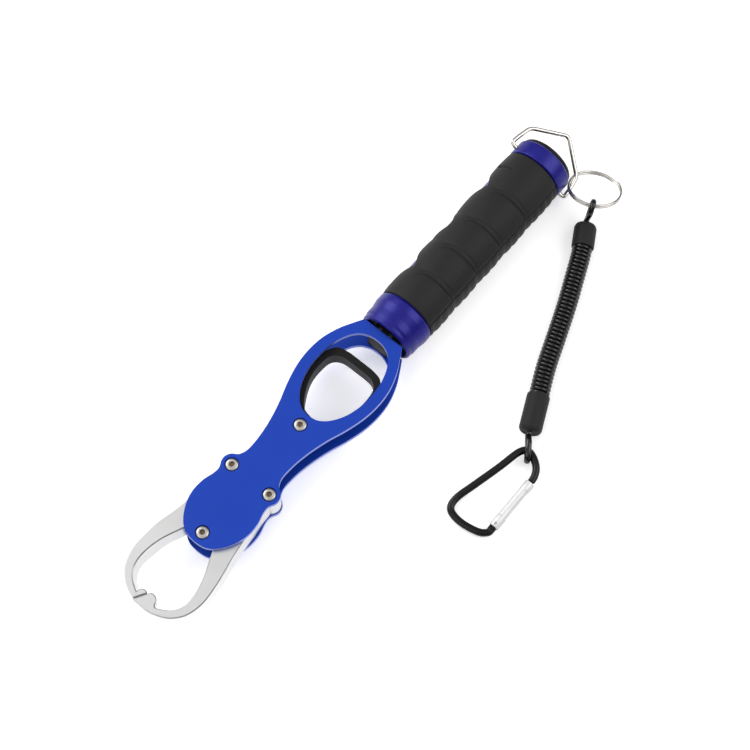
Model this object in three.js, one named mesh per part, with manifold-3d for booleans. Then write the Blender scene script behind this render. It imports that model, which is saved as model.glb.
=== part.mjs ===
// Fish lip grip: a trigger-operated pair of jaws between two shaped plates, on a tubular handle that
// holds a spring balance, with a wire bail, a split ring and a coiled lanyard ending in a carabiner.
// Millimetres. While it is being built, the tool's own axis is the Y axis (jaws towards -Y, tail
// towards +Y), Z points out of the front plate, and the origin is the front screw, on the axis. At
// the end the whole tool is moved so that it lies on z = 0 with its footprint centred on the origin.

import * as THREE from 'three';
import { mergeVertices } from 'three/addons/utils/BufferGeometryUtils.js';
import Module from 'manifold-3d';

const wasm = await Module();
wasm.setup();

// ---------------------------------------------------------------- driving dimensions

// Head: two plates with the jaws and the trigger between them
const PLATE_FACE = 7.5;            // outer faces of the plates, either side of the axis
const PLATE_THICKNESS = 2;
const PLATE_INNER = PLATE_FACE - PLATE_THICKNESS;
const PLATE_TAIL = 112;            // straight rear edge of the plates
const EAR_X = 10;
const EAR_Y = 28.9;
const EAR_RADIUS = 4.6;
const NECK_SCREW_Y = 59.4;
const SCREW_HEAD_RADIUS = 2.75;
const SCREW_SHANK_RADIUS = 1.45;
const SCREW_PROUD = 0.2;

// Jaws and their drive
const JAW_HALF_THICKNESS = 5.2;
const JAW_TIP_FRONT_Z = 0.5;                          // the tips lie a little towards the back plate
const JAW_TIP_BACK_Z = -3.9;
const JAW_TIP_Y = -37.3;
const JAW_TAPER_START_Y = -8;
const JAW_OPENING = THREE.MathUtils.degToRad(20);   // each jaw, for the whole trigger pull
const TRIGGER_PULL = 8;
const PIVOT_SLEEVE_RADIUS = 2.6;
const DRIVE_PIN_Y = 35;
const DRIVE_PIN_RADIUS = 1.5;
const RUNNING_GAP = 0.09;
const TONGUE_HALF_THICKNESS = 1.2;
const TAIL_INNER_Z = 1.5;          // each jaw's tail lies between this height and the jaw's face

// Handle
const SLEEVE_RADIUS = 13.9;
const SLEEVE_BORE = 12.9;
const SLEEVE_START = 127.3;
const SLEEVE_END = 212.3;
const TUBE_RADIUS = 11.5;                            // where the front collar takes it
const TUBE_BODY_RADIUS = 12.6;                       // under the sleeve
const TUBE_BORE = 9.6;
const TUBE_START = 118.2;
const TUBE_END = 212.4;
const COLLAR_FRONT = 113;
const BUSH_FACE = 116;
const REAR_COLLAR_RADIUS = 13.6;
const REAR_COLLAR_END = 220.5;
const PLUG_END = 222.6;
const ROD_RADIUS = 3;
const ROD_GROOVE_Y = 113.4;
const SEAT_START = 194;
const SEAT_LENGTH = 5;
const MAIN_SPRING_START = 124.3;
const SCALE_TRAVEL = 40;
const WINDOW_ANGLE = THREE.MathUtils.degToRad(184);   // where the sleeve and tube are slotted

// Bail
const BAIL_WIRE_RADIUS = 1;
const BAIL_PIVOT_Y = 215.6;
const BAIL_TURN = THREE.MathUtils.degToRad(26);       // its pivot axis is turned about the tool's axis

// Split ring, lanyard and carabiner, which lie on the table
const TABLE_Z = -SLEEVE_RADIUS;
const RING_RADIUS = 11.47;
const RING_WIRE_RADIUS = 0.5;
const RING_PITCH = 1.08;
const COIL_RADIUS = 4.5;
const LANYARD_SLEEVE_RADIUS = 4.9;
const LOOP_HALF_THICKNESS = 0.9;
const CARABINER_WIRE_RADIUS = 1.6;

const CENTRE_Y = (JAW_TIP_Y + 239.6) / 2;             // middle of the tool from jaw tips to bail

// ---------------------------------------------------------------- materials

const finish = (color, roughness, metalness) =>
  new THREE.MeshStandardMaterial({ color, roughness, metalness });
const plateBlue = () => finish(0x2a4cb9, 0.38, 0.85);
const anodisedBlue = () => finish(0x3732a5, 0.35, 0.85);
const polishedAlloy = () => finish(0xd9dadb, 0.18, 1);
const steel = () => finish(0xb9bcbf, 0.28, 1);
const springSteel = () => finish(0x8f9499, 0.35, 1);
const blackPlastic = () => finish(0x232322, 0.55, 0);
const blackRubber = () => finish(0x2d2d2c, 0.85, 0);
const blackAnodised = () => finish(0x17171a, 0.35, 0.7);
const glossBlack = () => finish(0x0f0f11, 0.25, 0);
const brass = () => finish(0xb08d4a, 0.35, 1);
const signalRed = () => finish(0xc0281f, 0.5, 0);

// ---------------------------------------------------------------- geometry helpers

const v2 = (x, y) => new THREE.Vector2(x, y);
const v3 = (x, y, z) => new THREE.Vector3(x, y, z);

/** Joins coincident vertices, drops collapsed triangles and turns every face outwards. */
function weld(geometry) {
  const bare = geometry.index ? geometry.toNonIndexed() : geometry.clone();
  for (const name of Object.keys(bare.attributes)) {
    if (name !== 'position') bare.deleteAttribute(name);
  }
  const merged = mergeVertices(bare, 1e-4);
  const corner = merged.index.array;
  const point = (i) => new THREE.Vector3().fromBufferAttribute(merged.attributes.position, i);
  const kept = [];
  let volume = 0;
  for (let i = 0; i < corner.length; i += 3) {
    const [a, b, c] = [corner[i], corner[i + 1], corner[i + 2]];
    if (a === b || b === c || c === a) continue;
    kept.push(a, b, c);
    volume += point(a).dot(point(b).cross(point(c)));
  }
  if (volume < 0) kept.reverse();
  merged.setIndex(kept);
  return merged;
}

function solid(geometry) {
  const closed = weld(geometry);
  return new wasm.Manifold(new wasm.Mesh({
    numProp: 3,
    vertProperties: new Float32Array(closed.attributes.position.array),
    triVerts: new Uint32Array(closed.index.array),
  }));
}

function surface(manifold) {
  const mesh = manifold.getMesh();
  const geometry = new THREE.BufferGeometry();
  geometry.setAttribute('position', new THREE.BufferAttribute(mesh.vertProperties, 3));
  geometry.setIndex(new THREE.BufferAttribute(mesh.triVerts, 1));
  return geometry;
}

const cut = (geometry, ...tools) =>
  surface(tools.reduce((rest, tool) => rest.subtract(solid(tool)), solid(geometry)));
const join = (geometry, ...others) =>
  surface(others.reduce((sum, other) => sum.add(solid(other)), solid(geometry)));
const common = (geometry, other) => surface(solid(geometry).intersect(solid(other)));

/** A flat shape drawn in X and Y, from height z0 to z1. */
function slab(shape, z0, z1, curveSegments = 6) {
  const geometry = new THREE.ExtrudeGeometry(shape, { depth: z1 - z0, bevelEnabled: false, curveSegments });
  return geometry.translate(0, 0, z0);
}

/** An upright cylinder with its axis along Z. */
function post(x, y, radius, z0, z1, sides = 16) {
  const geometry = new THREE.CylinderGeometry(radius, radius, z1 - z0, sides);
  return geometry.rotateX(Math.PI / 2).translate(x, y, (z0 + z1) / 2);
}

/** A cylinder along the tool's axis. */
function barrel(radius, y0, y1, sides = 28) {
  return new THREE.CylinderGeometry(radius, radius, y1 - y0, sides).translate(0, (y0 + y1) / 2, 0);
}

/** A body turned about the tool's axis; corners are [radius, y] and close on themselves. */
function turned(corners, sides = 28) {
  const profile = corners.map(([radius, y]) => v2(radius, y));
  profile.push(profile[0].clone());
  return new THREE.LatheGeometry(profile, sides);
}

function box(x0, x1, y0, y1, z0, z1) {
  const geometry = new THREE.BoxGeometry(x1 - x0, y1 - y0, z1 - z0);
  return geometry.translate((x0 + x1) / 2, (y0 + y1) / 2, (z0 + z1) / 2);
}

/** Round wire of the given radius swept along a curve. */
function wire(curve, radius, steps, sides = 8) {
  const section = new THREE.Shape();
  for (let i = 0; i < sides; i++) {
    const angle = (i / sides) * 2 * Math.PI;
    const corner = [radius * Math.cos(angle), radius * Math.sin(angle)];
    if (i === 0) section.moveTo(...corner);
    else section.lineTo(...corner);
  }
  section.closePath();
  return new THREE.ExtrudeGeometry(section, { steps, extrudePath: curve, bevelEnabled: false });
}

/** Straight lines through points, each inner corner rounded by a curve that starts `round` before it. */
function roundedPath(points, round) {
  const path = new THREE.CurvePath();
  let from = points[0];
  for (let i = 1; i < points.length - 1; i++) {
    const towards = (other) =>
      points[i].clone().lerp(other, Math.min(0.45, round / points[i].distanceTo(other)));
    const before = towards(points[i - 1]);
    const after = towards(points[i + 1]);
    path.add(new THREE.LineCurve3(from, before));
    path.add(new THREE.QuadraticBezierCurve3(before, points[i], after));
    from = after;
  }
  path.add(new THREE.LineCurve3(from, points[points.length - 1]));
  return path;
}

/** The outline of a band of the given half width along a centreline, with round ends. */
function band(centreline, halfWidth, endSteps = 8) {
  const last = centreline.length - 1;
  const heading = (i) => {
    const along = centreline[Math.min(i + 1, last)].clone().sub(centreline[Math.max(i - 1, 0)]);
    return Math.atan2(along.y, along.x);
  };
  const around = (i, angle) =>
    v2(centreline[i].x + halfWidth * Math.cos(angle), centreline[i].y + halfWidth * Math.sin(angle));
  const roundEnd = (i, from) => Array.from({ length: endSteps - 1 }, (_, s) =>
    around(i, heading(i) + from + ((s + 1) / endSteps) * Math.PI));
  const oneSide = centreline.map((_, i) => around(i, heading(i) - Math.PI / 2));
  const otherSide = centreline.map((_, i) => around(i, heading(i) + Math.PI / 2)).reverse();
  return new THREE.Shape([...oneSide, ...roundEnd(last, -Math.PI / 2), ...otherSide,
    ...roundEnd(0, Math.PI / 2)]);
}

/** Draws a smooth line through [x, y] points onto a shape or path. */
const smooth = (path, points) => path.splineThru(points.map(([x, y]) => v2(x, y)));
const mirrored = (points) => points.map(([x, y]) => [-x, y]).reverse();

const tool = new THREE.Group();
function add(name, geometry, material) {
  const closed = weld(geometry);
  closed.computeVertexNormals();
  const mesh = new THREE.Mesh(closed, material);
  mesh.name = name;
  tool.add(mesh);
}

// ---------------------------------------------------------------- head plates

const DISC_SIDE = [[4.6, -4.3], [8.4, -2], [11.6, 2], [13.8, 6.6], [14.8, 11.6], [14.5, 16.8], [13.3, 21.2],
  [13, 24.2]];
const NECK_SIDE = [[10.5, 34.3], [9.3, 37.4], [9.2, 42], [9.8, 48], [11.2, 55], [13.2, 62], [15.9, 69.6],
  [18.1, 78], [18.9, 86], [18.2, 94], [15.8, 101.5], [12.6, 107.6], [10, PLATE_TAIL]];
const FINGER_HOLE_SIDE = [[4.2, 65.3], [8.2, 68.4], [11.7, 74], [13.6, 80.5], [14.1, 87], [13.4, 94.5],
  [11, 101.2], [7.6, 105.6], [3.4, 107.6]];

function plateOutline() {
  const shape = new THREE.Shape();
  shape.moveTo(0, -4.9);
  smooth(shape, DISC_SIDE);
  shape.absarc(EAR_X, EAR_Y, EAR_RADIUS, -0.62, 1.15, false);
  smooth(shape, NECK_SIDE);
  shape.lineTo(-10, PLATE_TAIL);
  smooth(shape, mirrored(NECK_SIDE).slice(1));
  shape.absarc(-EAR_X, EAR_Y, EAR_RADIUS, Math.PI - 1.15, Math.PI + 0.62, false);
  smooth(shape, [...mirrored(DISC_SIDE), [0, -4.9]]);
  const hole = new THREE.Path();
  hole.moveTo(0, 64.4);
  smooth(hole, [...FINGER_HOLE_SIDE, [0, 108]]);
  smooth(hole, [...mirrored(FINGER_HOLE_SIDE), [0, 64.4]]);
  shape.holes.push(hole);
  return shape;
}

const SCREWS = {
  head: [0, 0],
  left_ear: [-EAR_X, EAR_Y],
  right_ear: [EAR_X, EAR_Y],
  neck: [0, NECK_SCREW_Y],
};
const DOWELS = { left: [-3.6, 109.7], right: [3.6, 109.7] };
const DOWEL_RADIUS = 0.9;
const COUNTERBORE_DEPTH = 1.1;

/** The front plate; the back plate is the same turned over (side = -1). */
function plate(side) {
  const [z0, z1] = side > 0 ? [PLATE_INNER, PLATE_FACE] : [-PLATE_FACE, -PLATE_INNER];
  const tools = [];
  for (const [x, y] of Object.values(SCREWS)) {
    tools.push(post(x, y, SCREW_SHANK_RADIUS + 0.15, z0 - 1, z1 + 1, 12));
    const floor = side * (PLATE_FACE - COUNTERBORE_DEPTH);
    tools.push(post(x, y, SCREW_HEAD_RADIUS + 0.3, Math.min(floor, side * 9), Math.max(floor, side * 9)));
  }
  for (const [x, y] of Object.values(DOWELS)) {
    const ends = [side * (PLATE_INNER - 1), side * (PLATE_INNER + 1)].sort((a, b) => a - b);
    tools.push(post(x, y, DOWEL_RADIUS + 0.06, ends[0], ends[1], 16));
  }
  return cut(slab(plateOutline(), z0, z1, 2), ...tools);
}

add('front_plate', plate(1), plateBlue());
add('back_plate', plate(-1), plateBlue());

/** Button-head screw with a hexagon socket, its head at the plate's face and its shank inwards. */
function plateScrew(x, y, side) {
  const seat = PLATE_FACE - COUNTERBORE_DEPTH + 0.05;
  const top = PLATE_FACE + SCREW_PROUD;
  const profile = [v2(0, 1.2), v2(SCREW_SHANK_RADIUS, 1.2), v2(SCREW_SHANK_RADIUS, seat),
    v2(SCREW_HEAD_RADIUS, seat), v2(SCREW_HEAD_RADIUS, top - 0.45), v2(SCREW_HEAD_RADIUS - 0.45, top),
    v2(0, top)];
  const body = new THREE.LatheGeometry(profile, 12);
  const socket = new THREE.CylinderGeometry(1.2, 1.2, 1.4, 6).translate(0, top - 0.2, 0);
  return surface(solid(body).subtract(solid(socket))).rotateX(side * Math.PI / 2).translate(x, y, 0);
}

for (const [place, [x, y]] of Object.entries(SCREWS)) {
  add(`screw_front_${place}`, plateScrew(x, y, 1), steel());
  add(`screw_back_${place}`, plateScrew(x, y, -1), steel());
}

/** A threaded spacer between the plates, bored for a screw from each end. */
function spacer(x, y, radius) {
  const end = PLATE_INNER - 0.1;
  return cut(post(x, y, radius, -end, end),
    post(x, y, SCREW_SHANK_RADIUS + 0.1, 0.9, end + 1, 12),
    post(x, y, SCREW_SHANK_RADIUS + 0.1, -end - 1, -0.9, 12));
}

add('head_spacer', spacer(...SCREWS.head, 2.5), steel());
add('neck_spacer', spacer(...SCREWS.neck, 2.5), steel());
add('left_jaw_pivot', spacer(...SCREWS.left_ear, PIVOT_SLEEVE_RADIUS), steel());
add('right_jaw_pivot', spacer(...SCREWS.right_ear, PIVOT_SLEEVE_RADIUS), steel());

// ---------------------------------------------------------------- jaws

const JAW_OUTER = [[3, -37.2], [8.6, -35.6], [12.9, -33], [16.6, -28.4], [18.5, -21.6], [18.3, -14],
  [17.2, -6.5], [15.6, 0.5], [14.5, 8], [14.1, 14], [12.9, 21.4], [12.8, 25.5]];
const JAW_INNER = [[5.6, 24.5], [5.3, 17], [5.5, 8], [6.4, 0.6], [8.6, -5.4], [11.5, -12], [13.2, -18.4],
  [13.5, -24], [12.3, -28.2], [9.8, -31.2], [6, -33.4], [0, -34]];
const JAW_EAR_RADIUS = 4.3;
const TIP_BOSS = { right: [0.6, 3.2], left: [-3.2, 2.4] };   // x and radius of the inward bosses
const TIP_OVERREACH = 7;           // both tips are drawn past the middle, then cut along one slanted line

/** The right jaw's blade from the pivot to the tip. */
function bladeOutline() {
  const shape = new THREE.Shape();
  shape.moveTo(-TIP_OVERREACH, -36.4);
  smooth(shape, [[-3, -37.2], ...JAW_OUTER]);
  shape.absarc(EAR_X, EAR_Y, JAW_EAR_RADIUS, -0.84, Math.PI + 0.35, false);
  smooth(shape, JAW_INNER);
  shape.lineTo(-TIP_OVERREACH, -33);
  shape.closePath();
  return shape;
}

/** Jaw thickness seen from the side: parallel at the root, tapering evenly to the tip. */
function taperedStock() {
  const profile = new THREE.Shape([v2(60, -JAW_HALF_THICKNESS), v2(60, JAW_HALF_THICKNESS),
    v2(JAW_TAPER_START_Y, JAW_HALF_THICKNESS), v2(JAW_TIP_Y - 1, JAW_TIP_FRONT_Z),
    v2(JAW_TIP_Y - 1, JAW_TIP_BACK_Z), v2(JAW_TAPER_START_Y, -JAW_HALF_THICKNESS)]);
  const width = 60;
  const geometry = new THREE.ExtrudeGeometry(profile, { depth: width, bevelEnabled: false });
  // drawn with X along the tool and Y up: stand it so that its X runs along Y and its Y along Z
  const axes = new THREE.Matrix4().makeBasis(v3(0, 1, 0), v3(0, 0, 1), v3(1, 0, 0));
  return geometry.applyMatrix4(axes).translate(-width / 2, 0, 0);
}

/** What is cut off a jaw's tip: everything past the slanted line where the two tips meet. */
function tipWaste(side) {
  const gap = 0.15;
  const slant = 0.62;
  const line = (y) => -0.7 + slant * (y + 30.4) + side * gap;
  const far = -side * 40;
  return slab(new THREE.Shape([v2(line(-45), -45), v2(line(-26), -26), v2(far, -26), v2(far, -45)]), -20, 20);
}

/** Where the drive pin runs in the right jaw, for an opening that stays in step with the trigger. */
function camCentreline(steps = 12) {
  const pivot = v2(EAR_X, EAR_Y);
  const points = [];
  for (let i = 0; i <= steps; i++) {
    const pull = (i / steps) * TRIGGER_PULL;
    const opening = (i / steps) * JAW_OPENING;
    points.push(v2(0, DRIVE_PIN_Y + pull).rotateAround(pivot, -opening));
  }
  return points;
}

/**
 * side is 1 for the right jaw and -1 for the left. The left blade is the right one turned over, and
 * the tails pass each other: the right jaw's lies under the front plate, the left's on the back one.
 */
function jaw(side) {
  const cam = camCentreline();
  const tail = slab(band(cam, 3), TAIL_INNER_Z, JAW_HALF_THICKNESS);
  const armLine = [v2(EAR_X, EAR_Y), v2(4.4, 35.5), v2(3.6, 39)];
  const arm = slab(band(armLine, 2.9), TAIL_INNER_Z, JAW_HALF_THICKNESS);
  const [bossX, bossRadius] = TIP_BOSS[side > 0 ? 'right' : 'left'];
  const boss = post(bossX, -33.5, bossRadius, JAW_TIP_BACK_Z, JAW_TIP_FRONT_Z, 24);
  const root = cut(join(slab(bladeOutline(), -JAW_HALF_THICKNESS, JAW_HALF_THICKNESS, 3), tail, arm),
    post(EAR_X, EAR_Y, PIVOT_SLEEVE_RADIUS + RUNNING_GAP, -6, 6, 32),
    slab(band(cam, DRIVE_PIN_RADIUS + RUNNING_GAP + 0.03), 0, 6));
  const blade = common(side < 0 ? root.rotateY(Math.PI) : root, taperedStock());
  return cut(join(blade, boss), tipWaste(side));
}

add('right_jaw', jaw(1), polishedAlloy());
add('left_jaw', jaw(-1), polishedAlloy());

// ---------------------------------------------------------------- trigger and its drive

const LOOP_OUTER = [[8.6, 65], [12.4, 71], [14.9, 78.6], [15.4, 86], [14.3, 92], [11.2, 96.4], [5.6, 97.6]];
const LOOP_HOLE_SHIFT = 0.4;                         // the hole sits a little to the right in the loop
const LOOP_INNER = [[5.2, 67.2], [9.6, 73.6], [12, 80], [12.4, 86.4], [11.4, 91.4], [8, 94], [3.4, 94.5]];
const TRIGGER_HALF_HEIGHT = 4;
const TONGUE_HALF_WIDTH = 5.5;
const TONGUE_STEP_Y = 50;          // ahead of this the tongue is thin, to pass between the jaws' tails
const TONGUE_FRONT = 28.6;
const SPRING_HOLE_Y = 30;

/** Finger loop with a tongue that runs forward to the drive pin; the neck spacer guides it in a slot. */
function trigger() {
  const outer = new THREE.Shape();
  outer.moveTo(0, TONGUE_STEP_Y);
  outer.lineTo(TONGUE_HALF_WIDTH, TONGUE_STEP_Y);
  outer.lineTo(TONGUE_HALF_WIDTH, 61);
  smooth(outer, LOOP_OUTER);
  outer.lineTo(-5.6, 97.6);
  smooth(outer, [...mirrored(LOOP_OUTER).slice(1), [-TONGUE_HALF_WIDTH, 61]]);
  outer.lineTo(-TONGUE_HALF_WIDTH, TONGUE_STEP_Y);
  outer.closePath();
  const fingerHole = new THREE.Shape();
  fingerHole.moveTo(0, 65.6);
  smooth(fingerHole, LOOP_INNER);
  fingerHole.lineTo(-3.4, 94.5);
  smooth(fingerHole, [...mirrored(LOOP_INNER).slice(1), [0, 65.6]]);
  const thinBar = (halfWidth, front) =>
    box(-halfWidth, halfWidth, front, TONGUE_STEP_Y + 1, -TONGUE_HALF_THICKNESS, TONGUE_HALF_THICKNESS);
  const tongue = thinBar(3.2, TONGUE_FRONT);
  const root = thinBar(TONGUE_HALF_WIDTH, 47);
  const slotEnds = [v2(0, NECK_SCREW_Y - TRIGGER_PULL - 0.2), v2(0, NECK_SCREW_Y)];
  return cut(join(slab(outer, -TRIGGER_HALF_HEIGHT, TRIGGER_HALF_HEIGHT, 3), tongue, root),
    slab(fingerHole, -6, 6, 3).translate(LOOP_HOLE_SHIFT, 0, 0),
    slab(band(slotEnds, 2.7, 10), -6, 6),
    post(0, DRIVE_PIN_Y, DRIVE_PIN_RADIUS + 0.06, -3, 3, 20),
    post(0, SPRING_HOLE_Y, 0.7, -3, 3, 12));
}

add('trigger', trigger(), blackPlastic());
const drivePinReach = JAW_HALF_THICKNESS - 0.1;
add('drive_pin', post(0, DRIVE_PIN_Y, DRIVE_PIN_RADIUS, -drivePinReach, drivePinReach, 20), steel());

/** Extension spring: hooked round the head spacer, coiled, then hooked down into the trigger's tongue. */
function returnSpring() {
  const wireRadius = 0.35;
  const coilRadius = 1.7;
  const turns = 12;
  const perTurn = 8;
  const coilStart = 4.4;
  const coilEnd = 24;
  const points = [];
  for (let i = 0; i <= 9; i++) {
    const angle = THREE.MathUtils.degToRad(60 - i * 30);
    points.push(v3(3 * Math.cos(angle), 3 * Math.sin(angle), 0));
  }
  for (let i = 2; i <= turns * perTurn; i++) {
    const angle = (i / perTurn) * 2 * Math.PI + Math.PI;
    const y = coilStart + (coilEnd - coilStart) * (i / (turns * perTurn));
    points.push(v3(coilRadius * Math.cos(angle), y, coilRadius * Math.sin(angle)));
  }
  points.push(v3(0, coilEnd + 1.4, 0.6), v3(0, SPRING_HOLE_Y - 1.6, 1.8), v3(0, SPRING_HOLE_Y - 0.4, 1.9),
    v3(0, SPRING_HOLE_Y, 1.2), v3(0, SPRING_HOLE_Y, -0.8));
  return wire(new THREE.CatmullRomCurve3(points), wireRadius, 84, 5);
}

add('trigger_spring', returnSpring(), springSteel());

// ---------------------------------------------------------------- swivel block, rod and spring balance

const BLOCK_HALF_WIDTH = 5.5;
const LOCK_PIN_X = 2.55;           // the pins pass beside the axis, through the rod's groove
const LOCK_PIN_RADIUS = 0.9;

function swivelBlock() {
  const height = PLATE_INNER - 0.2;
  const tools = [barrel(ROD_RADIUS + RUNNING_GAP, 111, 120, 28)];
  for (const [x, y] of Object.values(DOWELS)) tools.push(post(x, y, DOWEL_RADIUS + 0.06, -8, 8, 16));
  for (const x of [-LOCK_PIN_X, LOCK_PIN_X]) {
    tools.push(post(x, ROD_GROOVE_Y, LOCK_PIN_RADIUS + 0.06, -8, 8, 16));
  }
  return cut(box(-BLOCK_HALF_WIDTH, BLOCK_HALF_WIDTH, 108.2, 115.7, -height, height), ...tools);
}

add('swivel_block', swivelBlock(), blackPlastic());
for (const [place, [x, y]] of Object.entries(DOWELS)) {
  add(`block_dowel_${place}`, post(x, y, DOWEL_RADIUS, -PLATE_INNER - 0.9, PLATE_INNER + 0.9, 14), steel());
}
for (const [place, x] of Object.entries({ left: -LOCK_PIN_X, right: LOCK_PIN_X })) {
  add(`swivel_pin_${place}`, post(x, ROD_GROOVE_Y, LOCK_PIN_RADIUS, -PLATE_INNER, PLATE_INNER, 14), steel());
}

const ROD_END = SEAT_START + SEAT_LENGTH + 6;
add('balance_rod', turned([[0, 111.2], [ROD_RADIUS, 111.2], [ROD_RADIUS, ROD_GROOVE_Y - 1.05],
  [1.55, ROD_GROOVE_Y - 1.05], [1.55, ROD_GROOVE_Y + 1.05], [ROD_RADIUS, ROD_GROOVE_Y + 1.05],
  [ROD_RADIUS, ROD_END], [0, ROD_END]], 24), steel());

add('front_bush', turned([[ROD_RADIUS + RUNNING_GAP, BUSH_FACE], [10.7, BUSH_FACE], [10.7, BUSH_FACE + 1.8],
  [TUBE_BORE - 0.1, BUSH_FACE + 1.8], [TUBE_BORE - 0.1, 124], [ROD_RADIUS + RUNNING_GAP, 124]], 32),
  blackPlastic());

function mainSpring() {
  const wireRadius = 0.8;
  const coilRadius = 8.1;
  const turns = 11;
  const perTurn = 12;
  const y0 = MAIN_SPRING_START + wireRadius;
  const y1 = SEAT_START - 1.4 - wireRadius;
  const points = [];
  for (let i = 0; i <= turns * perTurn; i++) {
    const angle = (i / perTurn) * 2 * Math.PI;
    const fraction = i / (turns * perTurn);
    const closed = fraction * 1.08 - 0.04;             // the end turns lie nearly flat
    const y = y0 + (y1 - y0) * Math.min(1, Math.max(0, closed));
    points.push(v3(coilRadius * Math.cos(angle), y, coilRadius * Math.sin(angle)));
  }
  return wire(new THREE.CatmullRomCurve3(points), wireRadius, turns * 9, 5);
}

add('balance_spring', mainSpring(), springSteel());
add('thrust_washer', turned([[ROD_RADIUS + 0.1, SEAT_START - 1.3], [9.2, SEAT_START - 1.3],
  [9.2, SEAT_START - 0.3], [ROD_RADIUS + 0.1, SEAT_START - 0.3]], 32), steel());

/** Everything that stands in the slotted direction is drawn along +X and then turned about the axis. */
const toWindow = (geometry) => geometry.rotateY(-WINDOW_ANGLE);

const POINTER_Y = SEAT_START + SEAT_LENGTH / 2;
const POINTER_HALF_WIDTH = 1;

/** The scale pointer, or with some room round it the notch it sits in. */
const pointerBlock = (inner, outer, room) => toWindow(box(inner, outer, POINTER_Y - 1 - room,
  POINTER_Y + 1 + room, -POINTER_HALF_WIDTH - room, POINTER_HALF_WIDTH + room));

const springSeat = cut(turned([[ROD_RADIUS + 0.1, SEAT_START], [9.3, SEAT_START],
  [9.3, SEAT_START + SEAT_LENGTH], [ROD_RADIUS + 0.1, SEAT_START + SEAT_LENGTH]], 32),
  pointerBlock(6.9, 13, 0.1));
add('spring_seat', springSeat, brass());
add('scale_pointer', pointerBlock(7, TUBE_BODY_RADIUS + 0.1, 0), signalRed());
add('rod_nut', cut(new THREE.CylinderGeometry(5.4, 5.4, 3.4, 6).translate(0, SEAT_START + SEAT_LENGTH + 2, 0),
  barrel(ROD_RADIUS + 0.1, 190, 210, 24)), steel());

// ---------------------------------------------------------------- handle

const COLLAR_STEPS = [[11.1, COLLAR_FRONT], [11.9, COLLAR_FRONT], [12.5, COLLAR_FRONT + 0.7],
  [12.5, COLLAR_FRONT + 2.4], [12.9, COLLAR_FRONT + 3.2], [12.9, 119.6], [13.5, 123], [13.5, 126.2],
  [13, 127], [TUBE_RADIUS + 0.1, 127], [TUBE_RADIUS + 0.1, TUBE_START - 0.1], [11.1, TUBE_START - 0.1]];
add('front_collar', turned(COLLAR_STEPS), anodisedBlue());

const slitReach = 1.6;
const slitStart = POINTER_Y - SCALE_TRAVEL - slitReach;
const windowSlit = toWindow(box(6, 14, slitStart, POINTER_Y + slitReach, -1.25, 1.25));
const tubeStep = SLEEVE_START - 0.1;
add('handle_tube', cut(turned([[TUBE_BORE, TUBE_START], [TUBE_RADIUS, TUBE_START], [TUBE_RADIUS, tubeStep],
  [TUBE_BODY_RADIUS, tubeStep], [TUBE_BODY_RADIUS, TUBE_END], [TUBE_BORE, TUBE_END]]), windowSlit),
  anodisedBlue());

/** Wavy-edged slot through the sleeve over the scale: wide at the waves' hollows. */
function sleeveSlot() {
  const start = POINTER_Y - 64.5;
  const end = POINTER_Y + 7.5;
  const waves = 3;
  const stations = 24;
  const bulge = (y) => 0.5 - 0.5 * Math.cos(((y - start) / (end - start)) * waves * 2 * Math.PI);
  const halfWidth = (y) => 6.2 + 4.1 * bulge(y) ** 2;
  const edge = [];
  for (let i = 0; i <= stations; i++) {
    const y = start + ((end - start) * i) / stations;
    edge.push([halfWidth(y), y]);
  }
  const outline = [...edge, ...mirrored(edge)].map(([x, y]) => v2(x, y));
  // drawn flat in X and Y: stand it up so that it is cut along +X
  return toWindow(slab(new THREE.Shape(outline), 4, 16).rotateY(Math.PI / 2));
}

function rubberSleeve() {
  const lobes = 5;
  const profile = [[SLEEVE_BORE, SLEEVE_START]];
  const stations = 16;
  for (let i = 0; i <= stations; i++) {
    const y = SLEEVE_START + ((SLEEVE_END - SLEEVE_START) * i) / stations;
    const hollow = 0.4 * (0.5 - 0.5 * Math.cos((i / stations) * lobes * 2 * Math.PI));
    profile.push([SLEEVE_RADIUS - 0.4 + hollow, y]);
  }
  profile.push([SLEEVE_BORE, SLEEVE_END]);
  return cut(turned(profile, 24), sleeveSlot());
}

add('rubber_sleeve', rubberSleeve(), blackRubber());

const COLLAR_BORE = 8.3;
const bailHoles = new THREE.CylinderGeometry(BAIL_WIRE_RADIUS + 0.08, BAIL_WIRE_RADIUS + 0.08, 40, 16)
  .rotateZ(Math.PI / 2).translate(0, BAIL_PIVOT_Y, 0).rotateY(BAIL_TURN);
add('rear_collar', cut(turned([[COLLAR_BORE, 206.6], [TUBE_BORE - 0.1, 206.6],
  [TUBE_BORE - 0.1, TUBE_END + 0.3], [REAR_COLLAR_RADIUS - 0.4, TUBE_END + 0.3],
  [REAR_COLLAR_RADIUS, TUBE_END + 0.8],
  [REAR_COLLAR_RADIUS, REAR_COLLAR_END - 0.8], [REAR_COLLAR_RADIUS - 0.7, REAR_COLLAR_END],
  [COLLAR_BORE, REAR_COLLAR_END]]), bailHoles), anodisedBlue());
add('end_plug', turned([[0, 217.6], [COLLAR_BORE - 0.1, 217.6], [COLLAR_BORE - 0.1, REAR_COLLAR_END + 0.2],
  [12.6, REAR_COLLAR_END + 0.2], [12.6, PLUG_END - 0.9], [11.8, PLUG_END], [0, PLUG_END]]), blackPlastic());

// ---------------------------------------------------------------- bail

/** House-shaped wire, drawn in X and Y and then turned about the tool's axis. */
function bail() {
  const half = [[9.6, BAIL_PIVOT_Y], [16.6, BAIL_PIVOT_Y], [16.4, 219.6], [14.9, 227.6]];
  const points = [...half, [0, 238.4], ...mirrored(half)].map(([x, y]) => v3(x, y, 0));
  return wire(roundedPath(points, 2.2), BAIL_WIRE_RADIUS, 38, 8).rotateY(BAIL_TURN);
}

add('bail', bail(), steel());

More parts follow.
